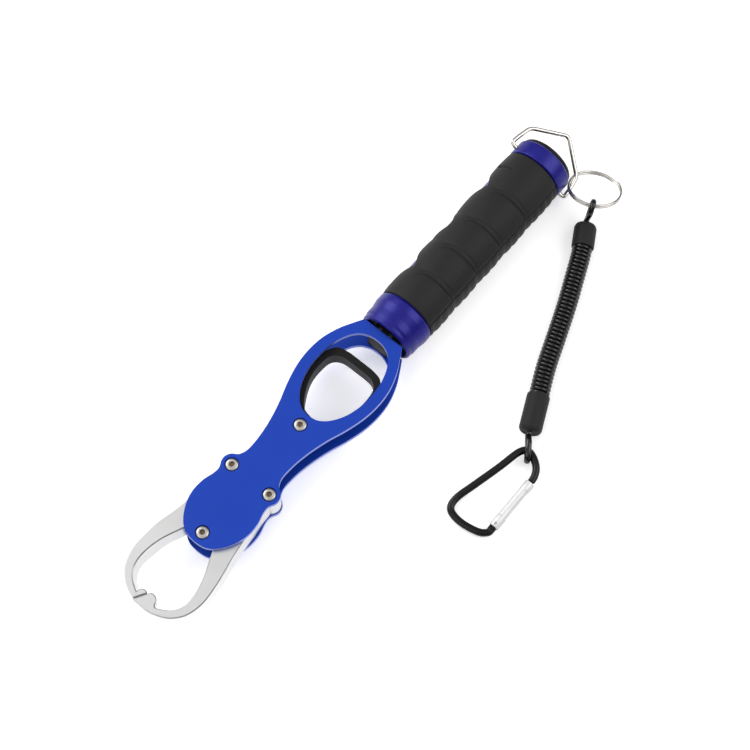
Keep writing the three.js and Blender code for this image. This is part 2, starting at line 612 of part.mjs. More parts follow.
// ---------------------------------------------------------------- split ring

// The ring rests across the bail's right side: under it near the table's far edge, over it in front.
const RING_CENTRE = v3(23, 227.1, -6.2);
const RING_FACING = THREE.MathUtils.degToRad(14.6);   // direction of its right end, seen from above
const RING_RISE = THREE.MathUtils.degToRad(2.8);      // right end higher than left
const RING_LEAN = THREE.MathUtils.degToRad(22.8);     // far edge lower than near
const LOOP_GRIP = THREE.MathUtils.degToRad(-75);      // where the lanyard's loop holds it

const ringRight = v3(Math.cos(RING_FACING) * Math.cos(RING_RISE), Math.sin(RING_FACING) * Math.cos(RING_RISE),
  Math.sin(RING_RISE));
const ringNormal = ringRight.clone().cross(v3(-Math.sin(RING_FACING) * Math.cos(RING_LEAN),
  Math.cos(RING_FACING) * Math.cos(RING_LEAN), -Math.sin(RING_LEAN))).normalize();
const ringFar = ringNormal.clone().cross(ringRight);

/** A point in the ring's plane, `radius` from its centre. */
const inRing = (radius, angle) => RING_CENTRE.clone()
  .addScaledVector(ringRight, radius * Math.cos(angle)).addScaledVector(ringFar, radius * Math.sin(angle));

/** A point of the ring's wire: `turn` runs over its two turns. */
const ringPoint = (turn) => inRing(RING_RADIUS, turn * 2 * Math.PI + 1)
  .addScaledVector(ringNormal, RING_PITCH * (turn - 1));

const ringPoints = Array.from({ length: 40 }, (_, i) => ringPoint((i / 39) * 1.96 + 0.02));
add('split_ring', wire(new THREE.CatmullRomCurve3(ringPoints), RING_WIRE_RADIUS, 48, 6), steel());

// ---------------------------------------------------------------- lanyard

const SLEEVE_Z = TABLE_Z + LANYARD_SLEEVE_RADIUS + 0.05;
const COIL_Z = TABLE_Z + COIL_RADIUS + 0.1;
const UPPER_SLEEVE = [v3(29.9, 212.4, SLEEVE_Z), v3(35.6, 202.6, SLEEVE_Z)];
const LOWER_SLEEVE = [v3(70.7, 121.5, SLEEVE_Z), v3(63.4, 137, SLEEVE_Z)];
const COIL_ROUTE = [[36, 201.7], [41.6, 189.3], [47.1, 176.6], [52.6, 162.5], [57.8, 149], [63.1, 137.7]];

/** Moulded end of the lanyard: a plain barrel with an eased shoulder. */
function lanyardSleeve([neck, mouth]) {
  const length = neck.distanceTo(mouth);
  const profile = [v2(0, 0), v2(3.2, 0), v2(4.3, 0.6), v2(LANYARD_SLEEVE_RADIUS, 2),
    v2(LANYARD_SLEEVE_RADIUS, length - 0.6), v2(LANYARD_SLEEVE_RADIUS - 0.5, length), v2(0, length)];
  const turn = new THREE.Quaternion().setFromUnitVectors(v3(0, 1, 0), mouth.clone().sub(neck).normalize());
  return new THREE.LatheGeometry(profile, 20).applyQuaternion(turn).translate(neck.x, neck.y, neck.z);
}

/**
 * Strap loop from a sleeve's neck round a wire whose centre is `grip`: `reach` is how far the loop
 * passes beyond it, `spread` how far above and below it, along `up`. `flatness` is the strap's width
 * over its thickness.
 */
function strapLoop([neck, mouth], grip, up, spread, reach, flatness) {
  const leaving = neck.clone().sub(mouth).normalize();
  const across = up.clone().addScaledVector(leaving, -up.dot(leaving)).normalize();
  const out = grip.clone().sub(neck).normalize();
  const leg = (side) => [neck.clone().addScaledVector(leaving, 0.35).addScaledVector(across, 1.05 * side),
    neck.clone().addScaledVector(leaving, 1.6).addScaledVector(across, 1.15 * side)];
  const round = [1, 0.5, 0, -0.5, -1].map((turn) =>
    [reach * Math.cos((turn * Math.PI) / 2), Math.sin((turn * Math.PI) / 2)]);
  const bend = [[-3.2, 0.9], ...round, [-3.2, -0.9]];
  const points = [...leg(1), ...bend.map(([along, height]) =>
    grip.clone().addScaledVector(out, along).addScaledVector(up, spread * height)), ...leg(-1).reverse()];
  const loop = wire(new THREE.CatmullRomCurve3(points), LOOP_HALF_THICKNESS, 24, 8);
  const sideways = out.clone().cross(up).normalize();
  const toLoop = new THREE.Matrix4().makeBasis(out, up, sideways).setPosition(grip);
  const widened = toLoop.clone().scale(v3(1, 1, flatness)).multiply(toLoop.clone().invert());
  return loop.applyMatrix4(widened);
}

const ringGrip = inRing(RING_RADIUS, LOOP_GRIP);
const upperLoopUp = inRing(1, LOOP_GRIP + Math.PI / 2).sub(RING_CENTRE)
  .cross(ringGrip.clone().sub(UPPER_SLEEVE[0])).normalize();
add('lanyard_upper_loop', strapLoop(UPPER_SLEEVE, ringGrip, upperLoopUp, 2.6, 2.3, 1.3), glossBlack());
add('lanyard_upper_sleeve', lanyardSleeve(UPPER_SLEEVE), blackRubber());
const coilCurve = new THREE.CatmullRomCurve3(COIL_ROUTE.map(([x, y]) => v3(x, y, COIL_Z)));
add('lanyard_coil', wire(coilCurve, COIL_RADIUS, 10, 12), glossBlack());
add('lanyard_lower_sleeve', lanyardSleeve(LOWER_SLEEVE), blackRubber());

// ---------------------------------------------------------------- carabiner

// Drawn flat in X and Y at its place, then tilted so that the loop passes beneath its top bend.
const CARABINER_FOOT_Y = 74;
const CARABINER_Z = TABLE_Z + 2.05;
const CARABINER_TILT = 0.05;
const GATE_X = 84.3;
const GATE_PIN_Y = 82.3;
const GATE_TOP_Y = 105;
const GATE_RADIUS = 2.25;
const CARABINER_BEND = [[GATE_X, 105.7], [83.9, 108.4], [82.2, 111.6], [78.6, 114.4], [75, 115.2],
  [72.4, 112.4], [70.2, 102.4], [67.3, 90.9], [64.9, 80.8], [66.3, 75.6], [72.6, 74.1], [80.6, 75.4],
  [83.9, 77.6], [GATE_X, 79.3]];

const tilted = (geometry) => geometry.translate(0, -CARABINER_FOOT_Y, 0).rotateX(CARABINER_TILT)
  .translate(0, CARABINER_FOOT_Y, CARABINER_Z);

function carabinerFrame() {
  const bend = new THREE.CatmullRomCurve3(CARABINER_BEND.map(([x, y]) => v3(x, y, 0)));
  const hingeTab = cut(box(GATE_X - 1.5, GATE_X + 1.5, 78.6, 83.9, -0.65, 0.65),
    post(GATE_X, GATE_PIN_Y, 0.66, -2, 2, 16));
  const noseTab = box(GATE_X - 1.2, GATE_X + 1.2, 103.2, 106.2, -0.6, 0.6);
  return join(wire(bend, CARABINER_WIRE_RADIUS, 34, 8), hingeTab, noseTab);
}

add('carabiner_frame', tilted(carabinerFrame()), blackAnodised());
add('carabiner_gate', tilted(cut(barrel(GATE_RADIUS, 80.9, GATE_TOP_Y, 16).translate(GATE_X, 0, 0),
  box(GATE_X - 4, GATE_X + 4, 79, 86, -0.8, 0.8), box(GATE_X - 4, GATE_X + 4, 102, 107, -0.8, 0.8),
  post(GATE_X, GATE_PIN_Y, 0.66, -4, 4, 16))), polishedAlloy());
add('carabiner_pin', tilted(post(GATE_X, GATE_PIN_Y, 0.6, -2.1, 2.1, 12)), steel());

const bendTop = v3(75, 115.2, CARABINER_Z + CARABINER_TILT * (115.2 - CARABINER_FOOT_Y));
add('lanyard_lower_loop', strapLoop(LOWER_SLEEVE, bendTop, v3(0, 0, 1), 3.15, 4.5, 1.45), glossBlack());

// ---------------------------------------------------------------- place the tool on the table

tool.position.set(0, -CENTRE_Y, -TABLE_Z);

export default tool;
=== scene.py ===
"""Looks of a fish lip grip: twin-plate head with pincer jaws and trigger, spring-balance handle,
bail and lanyard.

Lengths are in millimetres from the head's front screw, with +Y to the tail and +Z out of the front
plate. at() puts them into the shared frame in metres.
"""

import math

import bmesh
import bpy
from mathutils import Matrix, Vector


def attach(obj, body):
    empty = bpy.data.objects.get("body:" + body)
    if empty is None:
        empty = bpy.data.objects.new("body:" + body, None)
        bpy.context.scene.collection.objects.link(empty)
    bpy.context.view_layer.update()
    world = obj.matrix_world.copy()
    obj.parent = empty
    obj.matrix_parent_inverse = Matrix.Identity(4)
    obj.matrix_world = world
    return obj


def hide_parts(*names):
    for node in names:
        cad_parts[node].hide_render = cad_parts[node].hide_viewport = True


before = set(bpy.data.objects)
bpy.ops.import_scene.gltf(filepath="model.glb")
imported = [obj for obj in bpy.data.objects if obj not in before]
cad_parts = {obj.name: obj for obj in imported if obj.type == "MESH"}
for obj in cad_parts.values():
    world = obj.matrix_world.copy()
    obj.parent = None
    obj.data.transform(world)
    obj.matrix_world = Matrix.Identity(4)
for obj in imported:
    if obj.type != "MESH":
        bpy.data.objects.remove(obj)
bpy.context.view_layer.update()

CENTRE_Y = 101.15   # the point of the tool's axis that is over the shared frame's origin
TABLE_Z = -13.9     # the table's height


def at(x, y, z):
    return Vector((x, y - CENTRE_Y, z - TABLE_Z)) / 1000


def in_tool(point):
    """A point of the shared frame, back in millimetres from the head's front screw."""
    return point * 1000 - at(0, 0, 0) * 1000


# ---------------------------------------------------------------- camera

AZIMUTH = math.radians(39.81)
ELEVATION = math.radians(68.06)
look = Vector((-math.sin(AZIMUTH) * math.cos(ELEVATION), math.cos(AZIMUTH) * math.cos(ELEVATION),
               -math.sin(ELEVATION)))
camera_data = bpy.data.cameras.new("camera")
camera_data.sensor_width = 36
camera_data.lens = 95.46
camera_data.shift_x = -0.02796
camera_data.shift_y = 0.0016
camera_data.clip_start = 0.05
camera_data.clip_end = 20
camera = bpy.data.objects.new("camera", camera_data)
bpy.context.scene.collection.objects.link(camera)
camera.location = at(211.235, -133.341, 763.385)
camera.rotation_mode = "QUATERNION"
camera.rotation_quaternion = look.to_track_quat("-Z", "Y")
bpy.context.scene.camera = camera


# ---------------------------------------------------------------- outlines and paths

CORNER_SHARE = 0.45   # the most of a straight that one rounded corner takes


def smooth(points, steps=10):
    """Uniform Catmull-Rom line through 2-D or 3-D points, the end points doubled."""
    points = [Vector(p) for p in points]
    ends = [points[0], *points, points[-1]]
    line = []
    for i in range(1, len(ends) - 2):
        p0, p1, p2, p3 = ends[i - 1:i + 3]
        v0, v1 = (p2 - p0) / 2, (p3 - p1) / 2
        cubed = 2 * p1 - 2 * p2 + v0 + v1
        squared = -3 * p1 + 3 * p2 - 2 * v0 - v1
        for s in range(steps):
            t = s / steps
            line.append(cubed * t ** 3 + squared * t ** 2 + v0 * t + p1)
    return [*line, points[-1]]


def arc(x, y, radius, start, end, steps=24):
    angles = [start + (end - start) * i / steps for i in range(steps + 1)]
    return [Vector((x + radius * math.cos(a), y + radius * math.sin(a))) for a in angles]


def circle(x, y, radius, steps=40):
    return arc(x, y, radius, 0, 2 * math.pi, steps)[:-1]


def rectangle(x0, x1, y0, y1):
    return [Vector((x0, y0)), Vector((x1, y0)), Vector((x1, y1)), Vector((x0, y1))]


def mirrored(points):
    return [Vector((-p[0], p[1])) for p in reversed(points)]


def round_angles(steps):
    """Angles of evenly spaced points round a full turn."""
    return [2 * math.pi * i / steps for i in range(steps)]


def polar(radius, y, angle):
    """The point that is so far from the tool's axis, turned from +X toward +Z."""
    return Vector((radius * math.cos(angle), y, radius * math.sin(angle)))


def rounded_corners(points, radius, steps=5):
    """Corners of an open line, each replaced by a short curve that starts `radius` before it."""
    points = [Vector(p) for p in points]
    line = [points[0]]
    for before, corner, after in zip(points, points[1:], points[2:]):
        a, b = [corner.lerp(end, min(CORNER_SHARE, radius / max(1e-6, (corner - end).length)))
                for end in (before, after)]
        for i in range(steps + 1):
            t = i / steps
            line.append(a * (1 - t) ** 2 + corner * 2 * t * (1 - t) + b * t * t)
    return [*line, points[-1]]


def band(line, half_width, steps=12):
    """Outline of a band of that half width along a line, with round ends."""
    line = [Vector(p) for p in line]

    def heading(i):
        along = line[min(i + 1, len(line) - 1)] - line[max(i - 1, 0)]
        return math.atan2(along.y, along.x)

    def side(i, turn):
        angle = heading(i) + turn
        return line[i] + Vector((math.cos(angle), math.sin(angle))) * half_width

    last = len(line) - 1
    right = [side(i, -math.pi / 2) for i in range(last + 1)]
    left = [side(i, math.pi / 2) for i in range(last, -1, -1)]
    far_end = [side(last, -math.pi / 2 + math.pi * s / steps) for s in range(1, steps)]
    near_end = [side(0, math.pi / 2 + math.pi * s / steps) for s in range(1, steps)]
    return right + far_end + left + near_end


def thinned(loop, least=0.02):
    """The loop without points that lie on top of each other."""
    kept = []
    for p in loop:
        if not kept or (p - kept[-1]).length > least:
            kept.append(p)
    while len(kept) > 1 and (kept[0] - kept[-1]).length <= least:
        kept.pop()
    return kept


# ---------------------------------------------------------------- meshes

SHARP = 35      # degrees between two faces above which their edge stays crisp
RIM_ANGLE = 1   # radians between two faces above which a slab's edge is its rim
FINE_EDGE = 0.15   # width of the eased edges of thin parts


def shade(mesh, sharp):
    for polygon in mesh.polygons:
        polygon.use_smooth = True
    mesh.set_sharp_from_angle(angle=math.radians(sharp))


def bake_modifiers(obj):
    """Puts what the modifiers make of the object into its mesh."""
    bpy.context.view_layer.update()
    shaped = obj.evaluated_get(bpy.context.evaluated_depsgraph_get())
    mesh = bpy.data.meshes.new_from_object(shaped)
    obj.modifiers.clear()
    old, obj.data = obj.data, mesh
    name = old.name
    bpy.data.meshes.remove(old)
    mesh.name = name


def finish_mesh(name, bm, sharp=SHARP, flat=False):
    """The bmesh, in tool millimetres, as an object in the shared frame.

    flat is for a piece with broad flat faces: they keep their own normals, so only its eased
    edges shade as round.
    """
    bmesh.ops.recalc_face_normals(bm, faces=bm.faces)
    for v in bm.verts:
        v.co = at(*v.co)
    mesh = bpy.data.meshes.new(name)
    bm.to_mesh(mesh)
    bm.free()
    shade(mesh, sharp)
    obj = bpy.data.objects.new(name, mesh)
    bpy.context.scene.collection.objects.link(obj)
    if flat:
        modifier = obj.modifiers.new("weighted", "WEIGHTED_NORMAL")
        modifier.mode = "FACE_AREA"
        modifier.weight = 100
        modifier.keep_sharp = True
        bake_modifiers(obj)
    return obj


def merge(bm, other):
    """Adds the other bmesh to bm."""
    mesh = bpy.data.meshes.new("part")
    other.to_mesh(mesh)
    other.free()
    bm.from_mesh(mesh)
    bpy.data.meshes.remove(mesh)


def slab(bm, loops, z0, z1, bevel_low=0.0, bevel_high=0.0, segments=3, clamp=True):
    """A flat body between two heights: the first loop is its outline, the others holes in it."""
    made = bmesh.new()
    for loop in loops:
        ring = [made.verts.new((p[0], p[1], z0)) for p in thinned(loop)]
        for a, b in zip(ring, ring[1:] + ring[:1]):
            made.edges.new((a, b))
    bmesh.ops.triangle_fill(made, use_beauty=True, use_dissolve=False, edges=made.edges[:])
    raised = bmesh.ops.extrude_face_region(made, geom=made.faces[:])["geom"]
    top = [g for g in raised if isinstance(g, bmesh.types.BMVert)]
    bmesh.ops.translate(made, vec=(0, 0, z1 - z0), verts=top)
    bmesh.ops.recalc_face_normals(made, faces=made.faces)
    for height, width in ((z0, bevel_low), (z1, bevel_high)):
        if width:
            rim = [e for e in made.edges if all(abs(v.co.z - height) < 1e-4 for v in e.verts)
                   and e.calc_face_angle(0) > RIM_ANGLE]
            bmesh.ops.bevel(made, geom=rim, offset=width, segments=segments, profile=0.5,
                            affect="EDGES", clamp_overlap=clamp)
    merge(bm, made)


def bridge(bm, rings, sides):
    """Faces between each ring and the next; a ring of a single point is a pole."""
    for a, b in zip(rings, rings[1:]):
        for i in range(sides):
            k = (i + 1) % sides
            corners = [a[i % len(a)], a[k % len(a)], b[k % len(b)], b[i % len(b)]]
            corners = list(dict.fromkeys(corners))
            if len(corners) > 2:
                bm.faces.new(corners)


def lathe(profile, sides=128, closed=True):
    """Profile of (radius, y) corners turned about the axis; a closed one is a ring's section."""
    bm = bmesh.new()
    rings = []
    for radius, y in profile:
        if radius < 1e-6:
            rings.append([bm.verts.new((0, y, 0))])
        else:
            rings.append([bm.verts.new(polar(radius, y, a)) for a in round_angles(sides)])
    if closed and len(rings[0]) > 1:
        rings.append(rings[0])
    bridge(bm, rings, sides)
    return bm


def turned(name, corners, round_by=0.3, closed=True):
    """A lathe piece with its corners eased."""
    loop = [Vector(c) for c in corners]
    if closed:
        middle = (loop[0] + loop[-1]) / 2
        eased = rounded_corners([middle, *loop, middle], round_by, steps=3)[:-1]
    else:
        eased = rounded_corners(loop, round_by, steps=3)
    return finish_mesh(name, lathe([(p.x, p.y) for p in eased], closed=closed))


def tube(bm, path, radius, sides=20):
    """A round wire along 3-D points, with flat ends."""
    path = [Vector(p) for p in path]
    normal = (path[1] - path[0]).normalized().orthogonal().normalized()
    rings = []
    last = len(path) - 1
    for i, p in enumerate(path):
        along = (path[min(i + 1, last)] - path[max(i - 1, 0)]).normalized()
        normal = (normal - along * normal.dot(along)).normalized()
        across = along.cross(normal)
        rings.append([bm.verts.new(p + (normal * math.cos(a) + across * math.sin(a)) * radius)
                      for a in round_angles(sides)])
    bridge(bm, rings, sides)
    for ring in (rings[0], rings[-1]):
        bm.faces.new(ring)


def turn_about_axis(bm, angle):
    bmesh.ops.transform(bm, matrix=Matrix.Rotation(angle, 4, "Y"), verts=bm.verts)


def cut(obj, *tools):
    """Cuts the tools out of the object and removes them."""
    for tool in tools:
        modifier = obj.modifiers.new("cut", "BOOLEAN")
        modifier.operation = "DIFFERENCE"
        modifier.solver = "EXACT"
        modifier.object = tool
    bake_modifiers(obj)
    for tool in tools:
        bpy.data.objects.remove(tool)
    shade(obj.data, SHARP)


def post(x, y, radius, z0, z1, sides=24):
    """A round cutting tool along Z."""
    bm = bmesh.new()
    slab(bm, [circle(x, y, radius, sides)], z0, z1)
    return finish_mesh("tool", bm)


def block(x0, x1, y0, y1, z0, z1):
    """A rectangular cutting tool."""
    bm = bmesh.new()
    slab(bm, [rectangle(x0, x1, y0, y1)], z0, z1)
    return finish_mesh("tool", bm)


# ---------------------------------------------------------------- materials

PATCH_SCALE = 60                 # of the slow change of tone
ROUGH_LOW, ROUGH_HIGH = 0.85, 1.15
RELIEF_DEPTH = 0.0001            # metres


def material(name, colour, roughness, metallic, grain, bump, vary, specular=0.5):
    """A procedural finish: fine grain in bump and roughness, and a slow change of tone."""
    m = bpy.data.materials.new(name)
    m.use_nodes = True
    nodes, links = m.node_tree.nodes, m.node_tree.links
    shader = nodes["Principled BSDF"]
    where = nodes.new("ShaderNodeTexCoord")
    fine = nodes.new("ShaderNodeTexNoise")
    fine.inputs["Scale"].default_value = grain
    fine.inputs["Detail"].default_value = 4
    slow = nodes.new("ShaderNodeTexNoise")
    slow.inputs["Scale"].default_value = PATCH_SCALE
    slow.inputs["Detail"].default_value = 2
    for noise in (fine, slow):
        links.new(where.outputs["Object"], noise.inputs["Vector"])
    tone = nodes.new("ShaderNodeMix")
    tone.data_type = "RGBA"
    tone.inputs["A"].default_value = (*[c * (1 - vary) for c in colour], 1)
    tone.inputs["B"].default_value = (*[min(1, c * (1 + vary)) for c in colour], 1)
    links.new(slow.outputs["Fac"], tone.inputs["Factor"])
    links.new(tone.outputs["Result"], shader.inputs["Base Color"])
    rough = nodes.new("ShaderNodeMapRange")
    rough.inputs["To Min"].default_value = roughness * ROUGH_LOW
    rough.inputs["To Max"].default_value = min(1, roughness * ROUGH_HIGH)
    links.new(fine.outputs["Fac"], rough.inputs["Value"])
    links.new(rough.outputs["Result"], shader.inputs["Roughness"])
    relief = nodes.new("ShaderNodeBump")
    relief.inputs["Strength"].default_value = bump
    relief.inputs["Distance"].default_value = RELIEF_DEPTH
    links.new(fine.outputs["Fac"], relief.inputs["Height"])
    links.new(relief.outputs["Normal"], shader.inputs["Normal"])
    shader.inputs["Metallic"].default_value = metallic
    shader.inputs["Specular IOR Level"].default_value = specular
    return m


# name, colour, roughness, metallic, grain, bump, change of tone, specular level
plate_blue = material("plate_blue", (0.0025, 0.041, 0.385), 0.42, 0.2, 900, 0.10, 0.06, 0.3)
# a lighter blue for the plates' walls and eased edges: a painted highlight along their rims
plate_rim_highlight = material("plate_rim_highlight", (0.16, 0.21, 0.62), 0.34, 0.7, 900, 0.08, 0.06)
tube_blue = material("tube_blue", (0.008, 0.007, 0.19), 0.36, 0.25, 900, 0.10, 0.08, 0.3)
alloy = material("alloy", (0.74, 0.74, 0.735), 0.30, 1.0, 700, 0.004, 0.03)
brushed_alloy = material("brushed_alloy", (0.70, 0.70, 0.70), 0.55, 0.8, 900, 0.12, 0.04)
steel = material("steel", (0.55, 0.53, 0.50), 0.26, 1.0, 900, 0.08, 0.05)
screw_steel = material("screw_steel", (0.46, 0.44, 0.41), 0.42, 1.0, 900, 0.08, 0.05)
# a dark brown for the inside of the screws' hexagon sockets: painted shade of the recess
socket_shade = material("socket_shade", (0.16, 0.11, 0.07), 0.5, 0.8, 900, 0.1, 0.1)
spring_steel = material("spring_steel", (0.46, 0.46, 0.48), 0.3, 1.0, 900, 0.05, 0.05)
black_plastic = material("black_plastic", (0.004, 0.004, 0.0035), 0.5, 0.0, 800, 0.2, 0.1, 0.2)
black_rubber = material("black_rubber", (0.008, 0.008, 0.0078), 0.62, 0.0, 1500, 0.5, 0.15, 0.3)
gloss_black = material("gloss_black", (0.004, 0.004, 0.0045), 0.16, 0.0, 500, 0.03, 0.1)
black_anodised = material("black_anodised", (0.004, 0.004, 0.0045), 0.24, 0.2, 900, 0.08, 0.1, 0.3)
brass = material("brass", (0.66, 0.50, 0.22), 0.3, 1.0, 900, 0.08, 0.06)
signal_red = material("signal_red", (0.60, 0.03, 0.03), 0.35, 0.0, 800, 0.05, 0.06)
mark_white = material("mark_white", (0.75, 0.75, 0.78), 0.5, 0.0, 800, 0.05, 0.03)


def place(obj, body, slot, finish, *nodes):
    """Gives a piece its finish, the body it rides on and the CAD nodes it stands for."""
    obj.data.materials.clear()
    obj.data.materials.append(finish)
    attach(obj, body)
    if nodes:
        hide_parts(*nodes)
    return obj


# ---------------------------------------------------------------- where the lanyard lies

SLEEVE_Z = TABLE_Z + 4.95
COIL_Z = TABLE_Z + 4.6
UPPER_SLEEVE = [Vector((29.9, 212.4, SLEEVE_Z)), Vector((35.6, 202.6, SLEEVE_Z))]   # neck, mouth
LOWER_SLEEVE = [Vector((70.7, 121.5, SLEEVE_Z)), Vector((63.4, 137, SLEEVE_Z))]
COIL_ROUTE = [(36, 201.7), (41.6, 189.3), (47.1, 176.6), (52.6, 162.5), (57.8, 149), (63.1, 137.7)]
UPPER_HOLD, LOWER_HOLD = 0.1, 0.55   # where the cord's ends are held, as shares of their sleeves
CORD = 1.75                          # diameter
COIL_RADIUS = 3.6                    # to the cord's middle
COIL_PITCH = 70.5 / 38               # 38 turns show between the sleeves
LEAD = 6.0                           # length in which an end turn opens out to the coil
STEPS_PER_TURN = 16
CORD_STEP = 0.12                     # the least distance between two points of the curve

RING_CENTRE = Vector((23, 227.1, -6.2))
RING_RADIUS = 11.47
facing, rise, lean, grip_angle = [math.radians(a) for a in (14.6, 2.8, 22.8, -75)]
ring_right = Vector((math.cos(facing) * math.cos(rise), math.sin(facing) * math.cos(rise),
                     math.sin(rise)))
ring_leaning = Vector((-math.sin(facing) * math.cos(lean), math.cos(facing) * math.cos(lean),
                       -math.sin(lean)))
ring_normal = ring_right.cross(ring_leaning).normalized()
ring_far = ring_normal.cross(ring_right)

BEND_TOP = (75, 115.2)               # the carabiner's bend, where the lower strap holds it
CARABINER_FOOT_Y = 74                # the end that lies on the table, about which it is tilted
CARABINER_TILT = 0.05                # radians
CARABINER_Z = TABLE_Z + 2.05         # height of its wire's middle at the foot


def in_ring(radius, angle):
    """A point in the split ring's plane, from the ring's centre."""
    across, away = radius * math.cos(angle), radius * math.sin(angle)
    return RING_CENTRE + ring_right * across + ring_far * away


# ---------------------------------------------------------------- lanyard straps

STRAP_RADIUS = 0.9
STRAP_LEG = ((0.2, 1.05), (1.6, 1.15))   # out of the neck and to the side, at two points of a leg
STRAP_HEEL = 3.2                         # how far before the wire the loop closes in,
HEEL_SHARE = 0.9                         # and to what share of its spread


def strap_loop(name, node, sleeve, grip, up, spread, reach, flatness):
    """The lanyard's end strap: out of a sleeve's neck, round a wire and back.

    spread is the loop's half width at the wire, reach is how far past the wire's middle it goes,
    and flatness is how many times as wide as thick the strap is.
    """
    neck, mouth = sleeve
    leaving = (neck - mouth).normalized()
    across = (up - leaving * up.dot(leaving)).normalized()
    out = (grip - neck).normalized()

    def leg(side):
        return [neck + leaving * far + across * aside * side for far, aside in STRAP_LEG]

    turn = [(reach * math.cos(t * math.pi / 2), math.sin(t * math.pi / 2))
            for t in (1, 0.5, 0, -0.5, -1)]
    bend = [grip + out * a + up * (spread * h)
            for a, h in [(-STRAP_HEEL, HEEL_SHARE), *turn, (-STRAP_HEEL, -HEEL_SHARE)]]
    bm = bmesh.new()
    tube(bm, smooth([*leg(1), *bend, *reversed(leg(-1))], steps=8), STRAP_RADIUS)
    sideways = out.cross(up).normalized()
    for v in bm.verts:
        v.co += sideways * (v.co - grip).dot(sideways) * (flatness - 1)
    return place(finish_mesh(name, bm), "lanyard", "gloss_black", gloss_black, node)


ring_grip = in_ring(RING_RADIUS, grip_angle)
ring_along = in_ring(1, grip_angle + math.pi / 2) - RING_CENTRE
upper_up = ring_along.cross(ring_grip - UPPER_SLEEVE[0]).normalized()
bend_grip = Vector((*BEND_TOP, CARABINER_Z + CARABINER_TILT * (BEND_TOP[1] - CARABINER_FOOT_Y)))
upper_strap = strap_loop("lanyard_strap_upper", "lanyard_upper_loop", UPPER_SLEEVE, ring_grip,
                         upper_up, spread=2.6, reach=2.3, flatness=1.3)
lower_strap = strap_loop("lanyard_strap_lower", "lanyard_lower_loop", LOWER_SLEEVE, bend_grip,
                         Vector((0, 0, 1)), spread=3.15, reach=4.5, flatness=1.45)

# ---------------------------------------------------------------- lanyard cord


def coiled(axis):
    """The cord's line wound round an axis, from the axis and back to it, and its turns."""
    reached = [0.0]
    for a, b in zip(axis, axis[1:]):
        reached.append(reached[-1] + (b - a).length)
    turns = (reached[-1] - 2 * LEAD) / COIL_PITCH + 2
    count = int(turns * STEPS_PER_TURN)
    travelled = [0.0]
    for i in range(count):
        opened = min(1, (min(i, count - 1 - i) + 0.5) / STEPS_PER_TURN)
        advance = COIL_PITCH + 2 * (LEAD - COIL_PITCH) * (1 - opened)
        travelled.append(travelled[-1] + advance / STEPS_PER_TURN)
    line = []
    k = 0
    for i, distance in enumerate(travelled):
        distance *= reached[-1] / travelled[-1]
        while k < len(reached) - 2 and reached[k + 1] < distance:
            k += 1
        part = (distance - reached[k]) / max(1e-9, reached[k + 1] - reached[k])
        centre = axis[k].lerp(axis[k + 1], part)
        along = (axis[min(k + 2, len(axis) - 1)] - axis[max(k - 1, 0)]).normalized()
        side = along.cross(Vector((0, 0, 1))).normalized()
        over = side.cross(along)
        ramp = min(1, min(i, count - i) / STEPS_PER_TURN)
        radius = COIL_RADIUS * ramp * ramp * (3 - 2 * ramp)
        angle = 2 * math.pi * i / STEPS_PER_TURN - math.pi / 2
        line.append(centre + over * (radius * math.sin(angle)) + side * (radius * math.cos(angle)))
    return line, turns


coil_axis = smooth([UPPER_SLEEVE[0].lerp(UPPER_SLEEVE[1], UPPER_HOLD),
                    *[Vector((x, y, COIL_Z)) for x, y in COIL_ROUTE],
                    LOWER_SLEEVE[1].lerp(LOWER_SLEEVE[0], LOWER_HOLD)], steps=24)
helix, coil_turns = coiled(coil_axis)
route = thinned(helix, CORD_STEP)
cord_curve = bpy.data.curves.new("lanyard_cord", "CURVE")
cord_curve.dimensions = "3D"
cord_curve.bevel_depth = CORD / 2000
cord_curve.bevel_resolution = 3
cord_curve.use_fill_caps = True
spline = cord_curve.splines.new("POLY")
spline.points.add(len(route) - 1)
for point, p in zip(spline.points, route):
    point.co = (*at(*p), 1)
spline.use_smooth = True
cord = bpy.data.objects.new("lanyard_cord", cord_curve)
bpy.context.scene.collection.objects.link(cord)
place(cord, "lanyard", "gloss_black", gloss_black, "lanyard_coil")

# ---------------------------------------------------------------- lanyard sleeves


def lanyard_sleeve(name, ends, node):
    """A rubber sleeve from its neck, at the strap, to its mouth, at the coil."""
    neck, mouth = ends
    length = (neck - mouth).length
    corners = [(0, 0.4), (2.6, 0.4), (3.0, 0), (4.2, 0.4), (4.9, 1.8), (4.9, length), (4.3, length),
               (0, length)]
    eased = rounded_corners(corners, 0.5, steps=4)
    bm = lathe([(p.x, p.y) for p in eased], sides=48, closed=False)
    turn = Vector((0, 1, 0)).rotation_difference(mouth - neck).to_matrix().to_4x4()
    bmesh.ops.transform(bm, matrix=Matrix.Translation(neck) @ turn, verts=bm.verts)
    return place(finish_mesh(name, bm), "lanyard", "black_rubber", black_rubber, node)


upper_sleeve = lanyard_sleeve("lanyard_sleeve_upper", UPPER_SLEEVE, "lanyard_upper_sleeve")
lower_sleeve = lanyard_sleeve("lanyard_sleeve_lower", LOWER_SLEEVE, "lanyard_lower_sleeve")

# ---------------------------------------------------------------- carabiner

